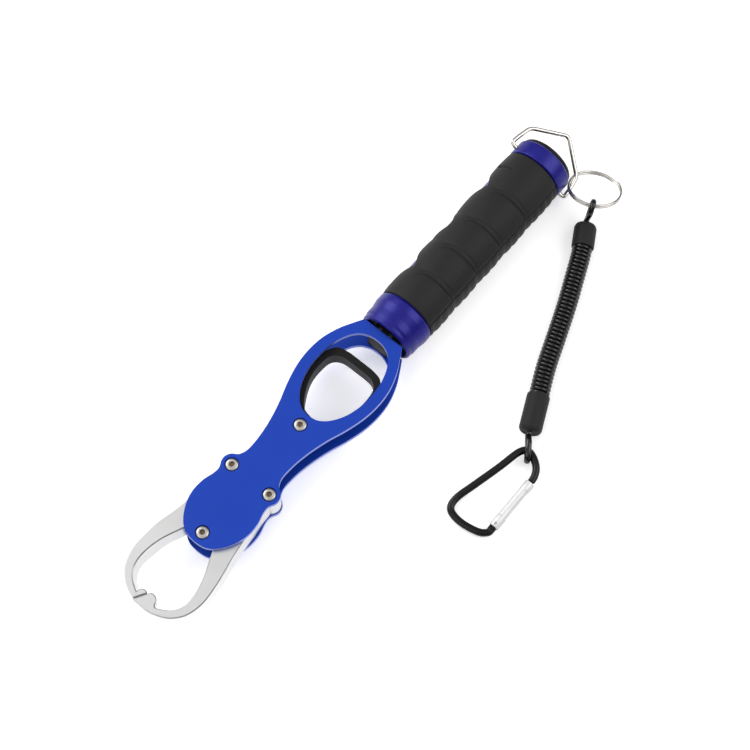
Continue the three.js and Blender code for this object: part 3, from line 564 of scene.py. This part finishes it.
WIRE_RADIUS = 1.6
GATE_X, GATE_PIN_Y = 84.3, 82.3
PIN_RADIUS, PIN_BORE = 0.6, 0.66
PIN_HALF, PIN_EDGE = 2.1, 0.12     # half length, and the eased edge of its ends
TAB_HALF, TAB_DEPTH = 1.2, 0.6     # the tab at the open end, that the gate closes on
LUG_DEPTH, FORK_DEPTH = 0.65, 0.8  # of the hinge lug, and of the gate's slots, from the middle
PAST_GATE = 4                      # how far the tools that cut the gate reach from its middle
BEND = [(GATE_X, 105.7), (83.9, 108.4), (82.2, 111.6), (78.6, 114.4), BEND_TOP, (72.4, 112.4),
        (70.2, 102.4), (67.3, 90.9), (64.9, 80.8), (66.3, 75.6), (72.6, 74.1), (80.6, 75.4),
        (83.9, 77.6), (GATE_X, 79.3)]
tilt = (Matrix.Translation((0, CARABINER_FOOT_Y, CARABINER_Z))
        @ Matrix.Rotation(CARABINER_TILT, 4, "X") @ Matrix.Translation((0, -CARABINER_FOOT_Y, 0)))

bm = bmesh.new()
tube(bm, smooth([(x, y, 0) for x, y in BEND], steps=12), WIRE_RADIUS, sides=28)
tab = rectangle(GATE_X - TAB_HALF, GATE_X + TAB_HALF, 103.2, 106.2)
slab(bm, [tab], -TAB_DEPTH, TAB_DEPTH, FINE_EDGE, FINE_EDGE, segments=2)
hinge_lug = [*arc(GATE_X, GATE_PIN_Y, WIRE_RADIUS, 0, math.pi, 16),
             Vector((GATE_X - WIRE_RADIUS, 78.6)), Vector((GATE_X + WIRE_RADIUS, 78.6))]
slab(bm, [hinge_lug, circle(GATE_X, GATE_PIN_Y, PIN_BORE, 20)], -LUG_DEPTH, LUG_DEPTH)
bmesh.ops.transform(bm, matrix=tilt, verts=bm.verts)
carabiner = place(finish_mesh("carabiner_body", bm), "carabiner", "black_anodised",
                  black_anodised, "carabiner_frame")


def on_gate(obj):
    """Moves a finished piece that was made flat to the tilted carabiner."""
    origin = at(0, 0, 0)
    obj.data.transform(Matrix.Translation(origin) @ Matrix.Scale(0.001, 4) @ tilt
                       @ Matrix.Scale(1000, 4) @ Matrix.Translation(-origin))
    return obj


gate_profile = [(0, 80.9), (2.25, 80.9), (2.25, 86.2), (2.1, 86.5), (2.1, 100.7), (2.25, 101),
                (2.25, 105), (0, 105)]
gate_eased = rounded_corners(gate_profile, 0.25, steps=3)
gate_bm = lathe([(p.x, p.y) for p in gate_eased], sides=40, closed=False)
bmesh.ops.translate(gate_bm, vec=(GATE_X, 0, 0), verts=gate_bm.verts)
gate = finish_mesh("carabiner_gate_bar", gate_bm)
fork = [block(GATE_X - PAST_GATE, GATE_X + PAST_GATE, y0, y1, -FORK_DEPTH, FORK_DEPTH)
        for y0, y1 in ((79, 86), (102, 107))]
cut(gate, *fork, post(GATE_X, GATE_PIN_Y, PIN_BORE, -PAST_GATE, PAST_GATE, 20))
place(on_gate(gate), "gate", "alloy", brushed_alloy, "carabiner_gate")
bm = bmesh.new()
slab(bm, [circle(GATE_X, GATE_PIN_Y, PIN_RADIUS, 24)], -PIN_HALF, PIN_HALF, PIN_EDGE, PIN_EDGE,
     segments=2)
gate_pin = place(on_gate(finish_mesh("carabiner_hinge_pin", bm)), "carabiner", "steel", steel,
                 "carabiner_pin")

# ---------------------------------------------------------------- head plates

EAR_X, EAR_Y, NECK_Y = 10, 28.9, 59.4
SCREWS = {"head": (0, 0), "left_ear": (-EAR_X, EAR_Y), "right_ear": (EAR_X, EAR_Y),
          "neck": (0, NECK_Y)}
PLATE_NEAR, PLATE_SEAT, PLATE_FAR = 5.5, 6.4, 7.5   # from the head's middle plane
BORE_RADIUS, SINK_RADIUS = 1.6, 3.05
PLATE_EDGE = 0.22                   # the eased outer edge
PLATE_EAR, EAR_SPAN = 4.6, (-0.62, 1.15)            # radius, and the angles that it bulges between
NEAR_SINK = 0.15                    # past a sink's wall, what is still painted as the plate's face
RIM_NORMAL = 0.8                    # faces that point less than this along Z are the plate's rim, which gets a painted highlight
DISC_SIDE = [(4.6, -4.3), (8.4, -2), (11.6, 2), (13.8, 6.6), (14.8, 11.6), (14.5, 16.8),
             (13.3, 21.2), (13, 24.2)]
NECK_SIDE = [(10.5, 34.3), (9.3, 37.4), (9.2, 42), (9.8, 48), (11.2, 55), (13.2, 62),
             (15.9, 69.6), (18.1, 78), (18.9, 86), (18.2, 94), (15.8, 101.5), (12.6, 107.6),
             (10, 112)]
FINGER_HOLE = [(4.2, 65.3), (8.2, 68.4), (11.7, 74), (13.6, 80.5), (14.1, 87), (13.4, 94.5),
               (11, 101.2), (7.6, 105.6), (3.4, 107.6)]

ear = arc(EAR_X, EAR_Y, PLATE_EAR, *EAR_SPAN, 20)
right_side = [*smooth([(0, -4.9), *DISC_SIDE, ear[0]]), *ear, *smooth([ear[-1], *NECK_SIDE])]
plate_outline = right_side + mirrored(right_side)
hole_side = smooth([(0, 64.4), *FINGER_HOLE, (0, 108)])
finger_hole = hole_side + mirrored(hole_side)
bores = [circle(x, y, BORE_RADIUS, 32) for x, y in SCREWS.values()]
sinks = [circle(x, y, SINK_RADIUS, 48) for x, y in SCREWS.values()]


def plate_layer(bm, side, holes, near, far, near_bevel, far_bevel):
    """A layer of a plate, from `near` to `far` out of the middle plane on that side of it."""
    slab(bm, [plate_outline, finger_hole, *holes], *sorted((side * near, side * far)),
         *(near_bevel, far_bevel)[::side])


for name, side in (("front_plate", 1), ("back_plate", -1)):
    bm = bmesh.new()
    plate_layer(bm, side, bores, PLATE_NEAR, PLATE_SEAT, FINE_EDGE, 0)
    plate_layer(bm, side, sinks, PLATE_SEAT, PLATE_FAR, 0, PLATE_EDGE)
    sheet = place(finish_mesh(name + "_sheet", bm, flat=True), "head", "plate_blue", plate_blue,
                  name)
    # the walls and eased edges take the lighter blue, a painted highlight; the screws' sinks keep
    # the face's blue
    sheet.data.materials.append(plate_rim_highlight)
    for polygon in sheet.data.polygons:
        middle = in_tool(polygon.center)
        in_sink = any(math.hypot(middle.x - x, middle.y - y) < SINK_RADIUS + NEAR_SINK
                      for x, y in SCREWS.values())
        if abs(polygon.normal.z) < RIM_NORMAL and not in_sink:
            polygon.material_index = 1

# ---------------------------------------------------------------- screws

SOCKET = 1.25                        # radius to the hexagon's corners
HEAD_SEAT, HEAD_TOP = 6.45, 7.7      # from the head's middle plane
HEAD_SIDES = 48


def screw(x, y, side):
    """Button head with a hexagon socket, and its shank down into the spacer."""
    bm = bmesh.new()
    dome = [(1.45, 1.2), (1.45, HEAD_SEAT), (2.6, HEAD_SEAT), (2.75, HEAD_SEAT + 0.15),
            (2.75, HEAD_SEAT + 0.45), (2.68, HEAD_SEAT + 0.75), (2.45, HEAD_SEAT + 0.98),
            (2.1, HEAD_TOP - 0.1), (1.75, HEAD_TOP - 0.01), (1.55, HEAD_TOP)]

    def ring(radius, z):
        return [bm.verts.new((radius(a) * math.cos(a), radius(a) * math.sin(a), z))
                for a in round_angles(HEAD_SIDES)]

    def hexagon(radius):
        corner = math.pi / 3
        return lambda a: radius * math.cos(corner / 2) / math.cos(a % corner - corner / 2)

    rings = [ring(lambda a, r=r: r, z) for r, z in dome]
    rings += [ring(hexagon(SOCKET + 0.06), HEAD_TOP - 0.04), ring(hexagon(SOCKET), HEAD_TOP - 0.12),
              ring(hexagon(SOCKET), HEAD_TOP - 0.9), [bm.verts.new((0, 0, HEAD_TOP - 1.15))]]
    bridge(bm, rings, HEAD_SIDES)
    bm.faces.new(rings[0])
    if side < 0:
        turn_about_axis(bm, math.pi)
    bmesh.ops.translate(bm, vec=(x, y, 0), verts=bm.verts)
    return bm


for spot, (x, y) in SCREWS.items():
    for face, side in (("front", 1), ("back", -1)):
        node = f"screw_{face}_{spot}"
        obj = place(finish_mesh(node + "_bolt", screw(x, y, side)), "head", "steel", screw_steel,
                    node)
        # the inside of the socket takes the dark brown, a painted shade of the recess
        obj.data.materials.append(socket_shade)
        for polygon in obj.data.polygons:
            middle = in_tool(polygon.center)
            in_socket = math.hypot(middle.x - x, middle.y - y) < SOCKET + 0.01
            if in_socket and PLATE_NEAR < abs(middle.z) < HEAD_TOP - 0.01:
                polygon.material_index = 1

# ---------------------------------------------------------------- jaws

JAW_HALF = 5.2                          # half thickness at the pivots
PIVOT_BORE = 2.69
JAW_EDGE = 0.4
JAW_SHARP = 17                          # degrees; keeps the dark line of the eased edges
JAW_EAR, JAW_EAR_SPAN = 4.3, (-0.84, math.pi + 0.35)   # radius, and the angles it runs between
TAIL_RADIUS, CAM_RADIUS = 3, 1.62       # half widths of the tail and of the slot in it
TAIL_LOW = 2.4                          # the right jaw's tail lies from here to JAW_HALF
PIN_Y, PULL, OPENING = 35, 8, math.radians(20)   # the trigger's pin, its travel, what that opens
CAM_STEPS = 12
TAPER_START, TAPER_LENGTH = -8, 30.3    # the blades thin from here to their tips,
FRONT_DROP, BACK_RISE = 4.7, 1.3        # by so much from the front and from the back
LEAN = 1.3                              # the inner wall's back edge leans in by this much,
LEAN_CENTRE = Vector((0, -18))          # toward here,
LEAN_WITHIN, LEAN_SIDE = 17.3, 6        # where it is this near and this far from the middle line,
LEAN_ALONG, LEAN_ASIDE = 3, 2           # fading in so fast along it, and over so many mm aside
TIP_X, TIP_Y, TIP_SLOPE, TIP_GAP = -0.7, -30.4, 0.62, 0.15
JAW_OUTER = [(3, -37.2), (8.6, -35.6), (12.9, -33), (16.6, -28.4), (18.5, -21.6), (18.3, -14),
             (17.2, -6.5), (15.6, 0.5), (14.5, 8), (14.1, 14), (12.9, 21.4), (12.8, 25.5)]
JAW_INNER = [(5.6, 24.5), (5.3, 17), (5.5, 8), (6.4, 0.6), (8.6, -5.4), (11.5, -12),
             (13.2, -18.4), (13.5, -24), (12.3, -28.2), (9.8, -31.2), (6, -33.4)]
jaw_ear = arc(EAR_X, EAR_Y, JAW_EAR, *JAW_EAR_SPAN, 40)


def tip_line(y, side):
    """Where the slanted gap between the jaws' tips is, at that y."""
    return TIP_X + TIP_SLOPE * (y - TIP_Y) + side * TIP_GAP


def jaw_outline(side):
    """The right jaw's outline, or the left's drawn as if it were on the right."""
    if side > 0:
        start = [(tip_line(-37.1, 1), -37.1), (-3, -37.25), *JAW_OUTER]
        end = [*JAW_INNER, (4.6, -33.9)]
        boss = arc(0.6, -33.5, 3.2, math.radians(2), math.radians(113.5), 20)
    else:
        start = [(-tip_line(-36.9, -1), -36.75), *JAW_OUTER[1:]]
        end = [*JAW_INNER[:-1], (6.1, -33.5)]
        boss = arc(3.2, -33.5, 2.4, math.radians(-5), math.radians(130.5), 18)
    return [*smooth([*start, jaw_ear[0]]), *jaw_ear, *smooth([jaw_ear[-1], *end]), *boss]


def jaw_tail(bm):
    """The tail between the plates, with the slot that the trigger's pin runs in."""
    cam = []
    for i in range(CAM_STEPS + 1):
        pull, opening = i / CAM_STEPS * PULL, -i / CAM_STEPS * OPENING
        dx, dy = -EAR_X, PIN_Y + pull - EAR_Y
        cam.append(Vector((EAR_X + dx * math.cos(opening) - dy * math.sin(opening),
                           EAR_Y + dx * math.sin(opening) + dy * math.cos(opening))))
    slab(bm, [band(cam, TAIL_RADIUS), band(cam, CAM_RADIUS)], TAIL_LOW, JAW_HALF,
         FINE_EDGE, FINE_EDGE, segments=2)


def thin_blade(bm):
    """Thins the blade toward its tip, and leans its inner wall in toward the back."""
    for v in bm.verts:
        if v.co.y < TAPER_START:
            along = (TAPER_START - v.co.y) / TAPER_LENGTH
            to_centre = LEAN_CENTRE - v.co.xy
            aside = abs(v.co.x) - LEAN_SIDE
            if v.co.z < 0 and aside > 0 and to_centre.length < LEAN_WITHIN:
                fade = min(1, LEAN_ALONG * along, aside / LEAN_ASIDE)
                v.co.xy += to_centre.normalized() * LEAN * fade
            v.co.z += -FRONT_DROP * along if v.co.z > 0 else BACK_RISE * along


for node, side in (("right_jaw", 1), ("left_jaw", -1)):
    bm = bmesh.new()
    slab(bm, [jaw_outline(side), circle(EAR_X, EAR_Y, PIVOT_BORE, 40)], -JAW_HALF, JAW_HALF,
         JAW_EDGE, JAW_EDGE, segments=1, clamp=False)
    jaw_tail(bm)
    if side < 0:
        turn_about_axis(bm, math.pi)
    thin_blade(bm)
    place(finish_mesh(node + "_blade", bm, JAW_SHARP, flat=True), node, "alloy", alloy, node)

# ---------------------------------------------------------------- trigger

LOOP_OUTER = [(5.5, 61), (8.6, 65), (12.4, 71), (14.9, 78.6), (15.4, 86), (14.3, 92), (11.2, 96.4),
              (5.6, 97.6)]
LOOP_INNER = [(0, 65.6), (5.2, 67.2), (9.6, 73.6), (12, 80), (12.4, 86.4), (11.4, 91.4), (8, 94),
              (3.4, 94.5)]
NOTCH_Y, NOTCH_RADIUS = 51.2, 2.7    # the front end of the notch that clears the neck spacer
TONGUE_HALF = 1.2                    # half thickness of the tongue that joins the loop there
LOOP_HALF, LOOP_EDGE = 4, 0.6        # half thickness of the loop, and its eased edge
LOOP_SHIFT = 0.4                     # the finger's opening is so far off the middle
PIN_HOLE, SPRING_HOLE, SPRING_Y = 1.56, 0.7, 30

outer_side = [Vector((5.5, 50)), *smooth(LOOP_OUTER)]
inner_side = smooth(LOOP_INNER)
entry = math.asin(TONGUE_HALF / NOTCH_RADIUS)
guide = [*arc(0, NOTCH_Y, NOTCH_RADIUS, math.pi + entry, math.pi, 4),
         *arc(0, NECK_Y, NOTCH_RADIUS, math.pi, 0, 24),
         *arc(0, NOTCH_Y, NOTCH_RADIUS, 0, -entry, 4)]
loop_hole = [p + Vector((LOOP_SHIFT, 0)) for p in inner_side + mirrored(inner_side)]
tongue = [*[Vector(p) for p in ((3.2, 28.6), (3.2, 47), (5.4, 47), (5.4, 50.4))],
          *arc(0, NOTCH_Y, NOTCH_RADIUS + 0.05, -0.3, -math.pi / 2, 8)]
pin_hole, spring_hole = circle(0, PIN_Y, PIN_HOLE, 32), circle(0, SPRING_Y, SPRING_HOLE, 20)
bm = bmesh.new()
slab(bm, [outer_side + mirrored(outer_side) + guide, loop_hole], -LOOP_HALF, LOOP_HALF,
     LOOP_EDGE, LOOP_EDGE, segments=4)
slab(bm, [tongue + mirrored(tongue), pin_hole, spring_hole], -TONGUE_HALF, TONGUE_HALF,
     FINE_EDGE, FINE_EDGE, segments=2)
place(finish_mesh("trigger_loop", bm, flat=True), "trigger", "black_plastic", black_plastic,
      "trigger")

# ---------------------------------------------------------------- swivel block

BLOCK_HALF, BLOCK_FRONT, BLOCK_REAR = 5.5, 108.2, 115.7
BLOCK_DEPTH, BLOCK_EDGE = 5.3, 0.3   # half thickness, and the eased edge
ROD_BORE, PIN_SEAT = 3.09, 0.96
PAST_BLOCK = 8                       # how far the tools that cut the pins' seats reach
BLOCK_PINS = ((-3.6, 109.7), (3.6, 109.7), (-2.55, 113.4), (2.55, 113.4))

bm = bmesh.new()
corners = [Vector(p) for p in ((BLOCK_HALF, BLOCK_FRONT), (BLOCK_HALF, BLOCK_REAR),
                               (-BLOCK_HALF, BLOCK_REAR), (-BLOCK_HALF, BLOCK_FRONT))]
slab(bm, [corners], -BLOCK_DEPTH, BLOCK_DEPTH, BLOCK_EDGE, BLOCK_EDGE, segments=2)
swivel = finish_mesh("swivel_carrier", bm)
rod_hole = [(0, 111), (ROD_BORE, 111), (ROD_BORE, 118), (0, 118)]
cut(swivel, finish_mesh("tool", lathe(rod_hole, sides=48, closed=False)),
    *[post(x, y, PIN_SEAT, -PAST_BLOCK, PAST_BLOCK) for x, y in BLOCK_PINS])
place(swivel, "head", "black_plastic", black_plastic, "swivel_block")

# ---------------------------------------------------------------- front collar and rubber

SLEEVE_START, SLEEVE_END, SLEEVE_RADIUS, SLEEVE_BORE = 127.3, 212.3, 13.9, 12.9
WINDOW = math.radians(184)         # the way that the slot in the rubber faces
SLOT_START, SLOT_END = 132, 204
SLOT_WAVES, SLOT_STEPS = 3, 72
SLOT_LEAST, SLOT_BULGE = 6.2, 4.1  # half width
GROOVES = (143, 158.9, 175, 192.2)
# each groove is a deep line and a faint one: depth, place and width
GROOVE_LINES = ((0.42, 0.9, 0.42), (0.22, -0.9, 0.5))
CURL, CURL_FROM, CURL_SPAN = 2.2, 94, 16   # it bends forward near its far end, from that angle on
SWELL, SWELL_POWER = 0.5, 0.6
GROOVED = (26, 112)                # degrees about the axis, from the right toward the front
RIBBED = (-80, 25)
RIB_DEPTH, RIB_PITCH = 0.3, 4.7
RIB_FADES = (10, 8)                # degrees, at the two edges of the ribbed strip
SEAM_DEPTH, SEAM_WIDTH = 0.45, 2.2     # the line beside the ribs, its width in degrees
NICKED = (112, 150)
NICK_Y, NICK_DEPTH, NICK_WIDTH = 203.2, 1.1, 0.55
WALL_LEAST = 0.12
SLEEVE_SIDES, SLEEVE_ROWS = 240, 320
EASED, EASED_DROP = 0.5, 0.3       # length of the sleeve's ends that is rounded off, and depth
SLOT_CUT = (4, 16)                 # how far from the axis the slot's cutting tool reaches

front_collar = turned("front_collar_ring", [(11.1, 113), (11.9, 113), (12.5, 113.7),
                                            (12.5, 115.4), (12.9, 116.2), (12.9, 119.6),
                                            (13.5, 123), (13.5, 126.2), (13, 127), (11.6, 127),
                                            (11.6, 118.1), (11.1, 118.1)], 0.35)
place(front_collar, "handle", "tube_blue", tube_blue, "front_collar")


def window_width(y):
    """Half width of the slot in the rubber at that y, wide and narrow by turns."""
    share = (y - SLOT_START) / (SLOT_END - SLOT_START)
    bulge = 0.5 - 0.5 * math.cos(share * SLOT_WAVES * 2 * math.pi)
    return SLOT_LEAST + SLOT_BULGE * bulge ** 2


def dent(distance, width):
    return math.exp(-(distance / width) ** 2)


def sleeve_radius(angle, y):
    """Rubber surface: swells with a moulded groove between each two, and a ribbed strip."""
    bounds = (SLEEVE_START, *GROOVES, SLEEVE_END)
    radius = SLEEVE_RADIUS - SWELL
    for a, b in zip(bounds, bounds[1:]):
        if a <= y < b:
            radius += SWELL * math.sin(math.pi * (y - a) / (b - a)) ** SWELL_POWER
    turn = math.degrees(angle)
    if GROOVED[0] < turn < GROOVED[1]:
        curl = CURL * (max(0, turn - CURL_FROM) / CURL_SPAN) ** 2
        for g in GROOVES:
            radius -= sum(depth * dent(y + curl - g + shift, width)
                          for depth, shift, width in GROOVE_LINES)
    radius -= SEAM_DEPTH * dent(turn - RIBBED[1], SEAM_WIDTH)
    if RIBBED[0] < turn < RIBBED[1]:
        fade = min(1, (RIBBED[1] - turn) / RIB_FADES[1], (turn - RIBBED[0]) / RIB_FADES[0])
        wave = 0.5 - 0.5 * math.cos(2 * math.pi * (y - SLEEVE_START) / RIB_PITCH)
        radius -= RIB_DEPTH * fade * wave ** 2
    if NICKED[0] < turn < NICKED[1]:
        radius -= NICK_DEPTH * dent(y - NICK_Y, NICK_WIDTH)
    return max(radius, SLEEVE_BORE + WALL_LEAST)


def sleeve_mesh():
    bm = bmesh.new()
    angles = [a - math.pi for a in round_angles(SLEEVE_SIDES)]
    rows = []
    for j in range(SLEEVE_ROWS + 1):
        y = SLEEVE_START + (SLEEVE_END - SLEEVE_START) * j / SLEEVE_ROWS
        ease = min(1, (y - SLEEVE_START) / EASED, (SLEEVE_END - y) / EASED)
        drop = EASED_DROP * (1 - max(0, ease)) ** 2
        rows.append([bm.verts.new(polar(sleeve_radius(a, y) - drop, y, a)) for a in angles])
    for y in (SLEEVE_END, SLEEVE_START):
        rows.append([bm.verts.new(polar(SLEEVE_BORE, y, a)) for a in angles])
    bridge(bm, rows + rows[:1], SLEEVE_SIDES)
    return bm


def window_tool(loop, low, high):
    """A cutting tool drawn flat with X across it, then stood up to face as the slot does."""
    bm = bmesh.new()
    slab(bm, [loop], low, high)
    turn_about_axis(bm, math.pi / 2 - WINDOW)
    return finish_mesh("tool", bm)


slot_length = SLOT_END - SLOT_START
slot_rows = [SLOT_START + slot_length * i / SLOT_STEPS for i in range(SLOT_STEPS + 1)]
slot_edge = [Vector((window_width(y), y)) for y in slot_rows]
rubber = finish_mesh("rubber_grip", sleeve_mesh(), sharp=50)
cut(rubber, window_tool(slot_edge + mirrored(slot_edge), *SLOT_CUT))
place(rubber, "handle", "black_rubber", black_rubber, "rubber_sleeve")

# ---------------------------------------------------------------- tube and its scale

TUBE_START, TUBE_END, TUBE_BORE = 118.2, 212.4, 9.6
TUBE_RADIUS, TUBE_BODY_RADIUS = 11.5, 12.6     # in the front collar, and under the rubber
POINTER_Y, TRAVEL = 196.5, 40
SLIT_HALF, SLIT_SPARE = 1.25, 1.6              # half width, and length past the pointer's travel
SLIT_CUT = (6, 14)
MARKS, MARK_STEP, LONG_MARK = 21, 2, 5         # every fifth mark is a long one
MARK_START, MARK_SHORT, MARK_LONG = 1.7, 3.2, 4.6
MARK_HALF, MARK_HEIGHT, MARK_LIFT = 0.12, 0.05, 0.005

body_start = SLEEVE_START - 0.1
tube_piece = turned("inner_tube", [(TUBE_BORE, TUBE_START), (TUBE_RADIUS, TUBE_START),
                                   (TUBE_RADIUS, body_start), (TUBE_BODY_RADIUS, body_start),
                                   (TUBE_BODY_RADIUS, TUBE_END), (TUBE_BORE, TUBE_END)], 0.05)
slit = rectangle(-SLIT_HALF, SLIT_HALF, POINTER_Y - TRAVEL - SLIT_SPARE, POINTER_Y + SLIT_SPARE)
cut(tube_piece, window_tool(slit, *SLIT_CUT))
place(tube_piece, "handle", "tube_blue", tube_blue, "handle_tube")

bm = bmesh.new()
for i in range(MARKS):
    y = POINTER_Y - i * MARK_STEP
    reach = MARK_SHORT if i % LONG_MARK else MARK_LONG
    for side in (1, -1):
        made = bmesh.new()
        slab(made, [rectangle(MARK_START, reach, y - MARK_HALF, y + MARK_HALF)], 0, MARK_HEIGHT)
        for v in made.verts:
            v.co = polar(TUBE_BODY_RADIUS + MARK_LIFT + v.co.z, v.co.y,
                         v.co.x * side / TUBE_BODY_RADIUS)
        merge(bm, made)
turn_about_axis(bm, -WINDOW)
place(finish_mesh("scale_marks", bm), "handle", "tube_blue", mark_white)

# ---------------------------------------------------------------- rear collar and end plug

BAIL_TURN = math.radians(26)       # how far the bail's plane is turned about the axis
BAIL_Y, BAIL_BORE = 215.6, 1.08
PAST_COLLAR = 20                   # how far the tool that cuts the bail's holes reaches

rear_collar = turned("rear_collar_ring", [(8.3, 206.6), (9.5, 206.6), (9.5, 212.7),
                                          (13.2, 212.7), (13.6, 213.1), (13.6, 219.7),
                                          (12.9, 220.5), (8.3, 220.5)], 0.3)
bm = bmesh.new()
tube(bm, [(x, BAIL_Y, 0) for x in (-PAST_COLLAR, PAST_COLLAR)], BAIL_BORE, sides=32)
turn_about_axis(bm, BAIL_TURN)
cut(rear_collar, finish_mesh("tool", bm))
place(rear_collar, "handle", "tube_blue", tube_blue, "rear_collar")
plug = turned("end_plug_cap", [(0, 217.6), (8.2, 217.6), (8.2, 220.7), (12.6, 220.7),
                               (12.6, 221.7), (11.8, 222.6), (0, 222.6)], 0.3, closed=False)
place(plug, "handle", "black_plastic", black_plastic, "end_plug")

# ---------------------------------------------------------------- bail and split ring

BAIL_RADIUS = 1.0
RING_WIRE = 0.5                    # radius
RING_START, RING_TURNS = 0.02, 1.96
RING_PHASE = 1                     # radians
RING_PITCH = 1.08
RING_STEPS = 180

half_bail = [(9.6, BAIL_Y, 0), (16.6, BAIL_Y, 0), (16.3, 219.4, 0), (14.8, 226.9, 0)]
bail_line = [*half_bail, (0, 237.4, 0), *[(-x, y, z) for x, y, z in reversed(half_bail)]]
bm = bmesh.new()
tube(bm, rounded_corners(bail_line, 2.2, steps=8), BAIL_RADIUS, sides=24)
turn_about_axis(bm, BAIL_TURN)
place(finish_mesh("bail_wire", bm), "bail", "steel", steel, "bail")

ring_line = []
for i in range(RING_STEPS + 1):
    turn = RING_START + RING_TURNS * i / RING_STEPS
    ring_line.append(in_ring(RING_RADIUS, turn * 2 * math.pi + RING_PHASE)
                     + ring_normal * (RING_PITCH * (turn - 1)))
bm = bmesh.new()
tube(bm, ring_line, RING_WIRE, sides=16)
place(finish_mesh("split_ring_wire", bm), "bail", "steel", steel, "split_ring")

# ---------------------------------------------------------------- pieces kept from the CAD model

CARRIED = {
    steel: ["head_spacer", "neck_spacer", "left_jaw_pivot", "right_jaw_pivot", "drive_pin",
            "block_dowel_left", "block_dowel_right", "swivel_pin_left", "swivel_pin_right",
            "balance_rod", "thrust_washer", "rod_nut"],
    spring_steel: ["trigger_spring", "balance_spring"],
    black_plastic: ["front_bush"],
    brass: ["spring_seat"],
    signal_red: ["scale_pointer"],
}
for finish, names in CARRIED.items():
    for name in names:
        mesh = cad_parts[name].data
        mesh.materials.clear()
        mesh.materials.append(finish)

# ---------------------------------------------------------------- floor

FLOOR_SIZE, FLOOR_DROP = 4, 0.0002   # metres
FLOOR_GLOW = 0.42                    # a backlit table, which keeps the shadows faint

scene = bpy.context.scene
bm = bmesh.new()
bmesh.ops.create_grid(bm, x_segments=1, y_segments=1, size=FLOOR_SIZE)
floor_mesh = bpy.data.meshes.new("floor")
bm.to_mesh(floor_mesh)
bm.free()
floor = bpy.data.objects.new("floor", floor_mesh)
floor.location = (0, 0, -FLOOR_DROP)
scene.collection.objects.link(floor)
floor_finish = material("floor_pale", (0.86, 0.86, 0.86), 0.9, 0.0, 40, 0.0, 0.01)
floor_shader = floor_finish.node_tree.nodes["Principled BSDF"]
floor_shader.inputs["Emission Color"].default_value = (1, 1, 1, 1)
floor_shader.inputs["Emission Strength"].default_value = FLOOR_GLOW
floor_mesh.materials.append(floor_finish)

# ---------------------------------------------------------------- light

# greys of the studio by height: 0 is the horizon and all below it, 1 is overhead
STUDIO = ((0.0, 0.10), (0.46, 0.08), (0.62, 0.54), (0.80, 0.76), (0.90, 0.76), (1.0, 0.74))

world = bpy.data.worlds.new("studio")
scene.world = world
world.use_nodes = True
sky, wires = world.node_tree.nodes, world.node_tree.links
direction = sky.new("ShaderNodeTexCoord")
height = sky.new("ShaderNodeSeparateXYZ")
wires.new(direction.outputs["Generated"], height.inputs["Vector"])
ramp = sky.new("ShaderNodeValToRGB")
stops = ramp.color_ramp.elements     # the ramp starts with a stop at each end
for position, grey in STUDIO[1:-1]:
    stops.new(position)
for stop, (position, grey) in zip(stops, STUDIO):
    stop.color = (grey, grey, grey, 1)
wires.new(height.outputs["Z"], ramp.inputs["Fac"])
wires.new(ramp.outputs["Color"], sky["Background"].inputs["Color"])
sky["Background"].inputs["Strength"].default_value = 1.0
scene.view_settings.view_transform = "Standard"


def softbox(name, location, size, power):
    """An area light, in metres and watts, that points at the origin."""
    data = bpy.data.lights.new(name, "AREA")
    data.shape = "RECTANGLE"
    data.size, data.size_y = size
    data.energy = power
    lamp = bpy.data.objects.new(name, data)
    lamp.location = location
    lamp.rotation_mode = "QUATERNION"
    lamp.rotation_quaternion = (-Vector(location)).to_track_quat("-Z", "Y")
    scene.collection.objects.link(lamp)


softbox("key", (-1.2, -0.1, 0.9), (1.1, 1.1), 15)
softbox("fill", (0.9, 0.7, 1.1), (1.1, 1.1), 11)
softbox("front", (-0.3, -1.3, 1.2), (1.2, 0.8), 6)

bpy.context.view_layer.update()
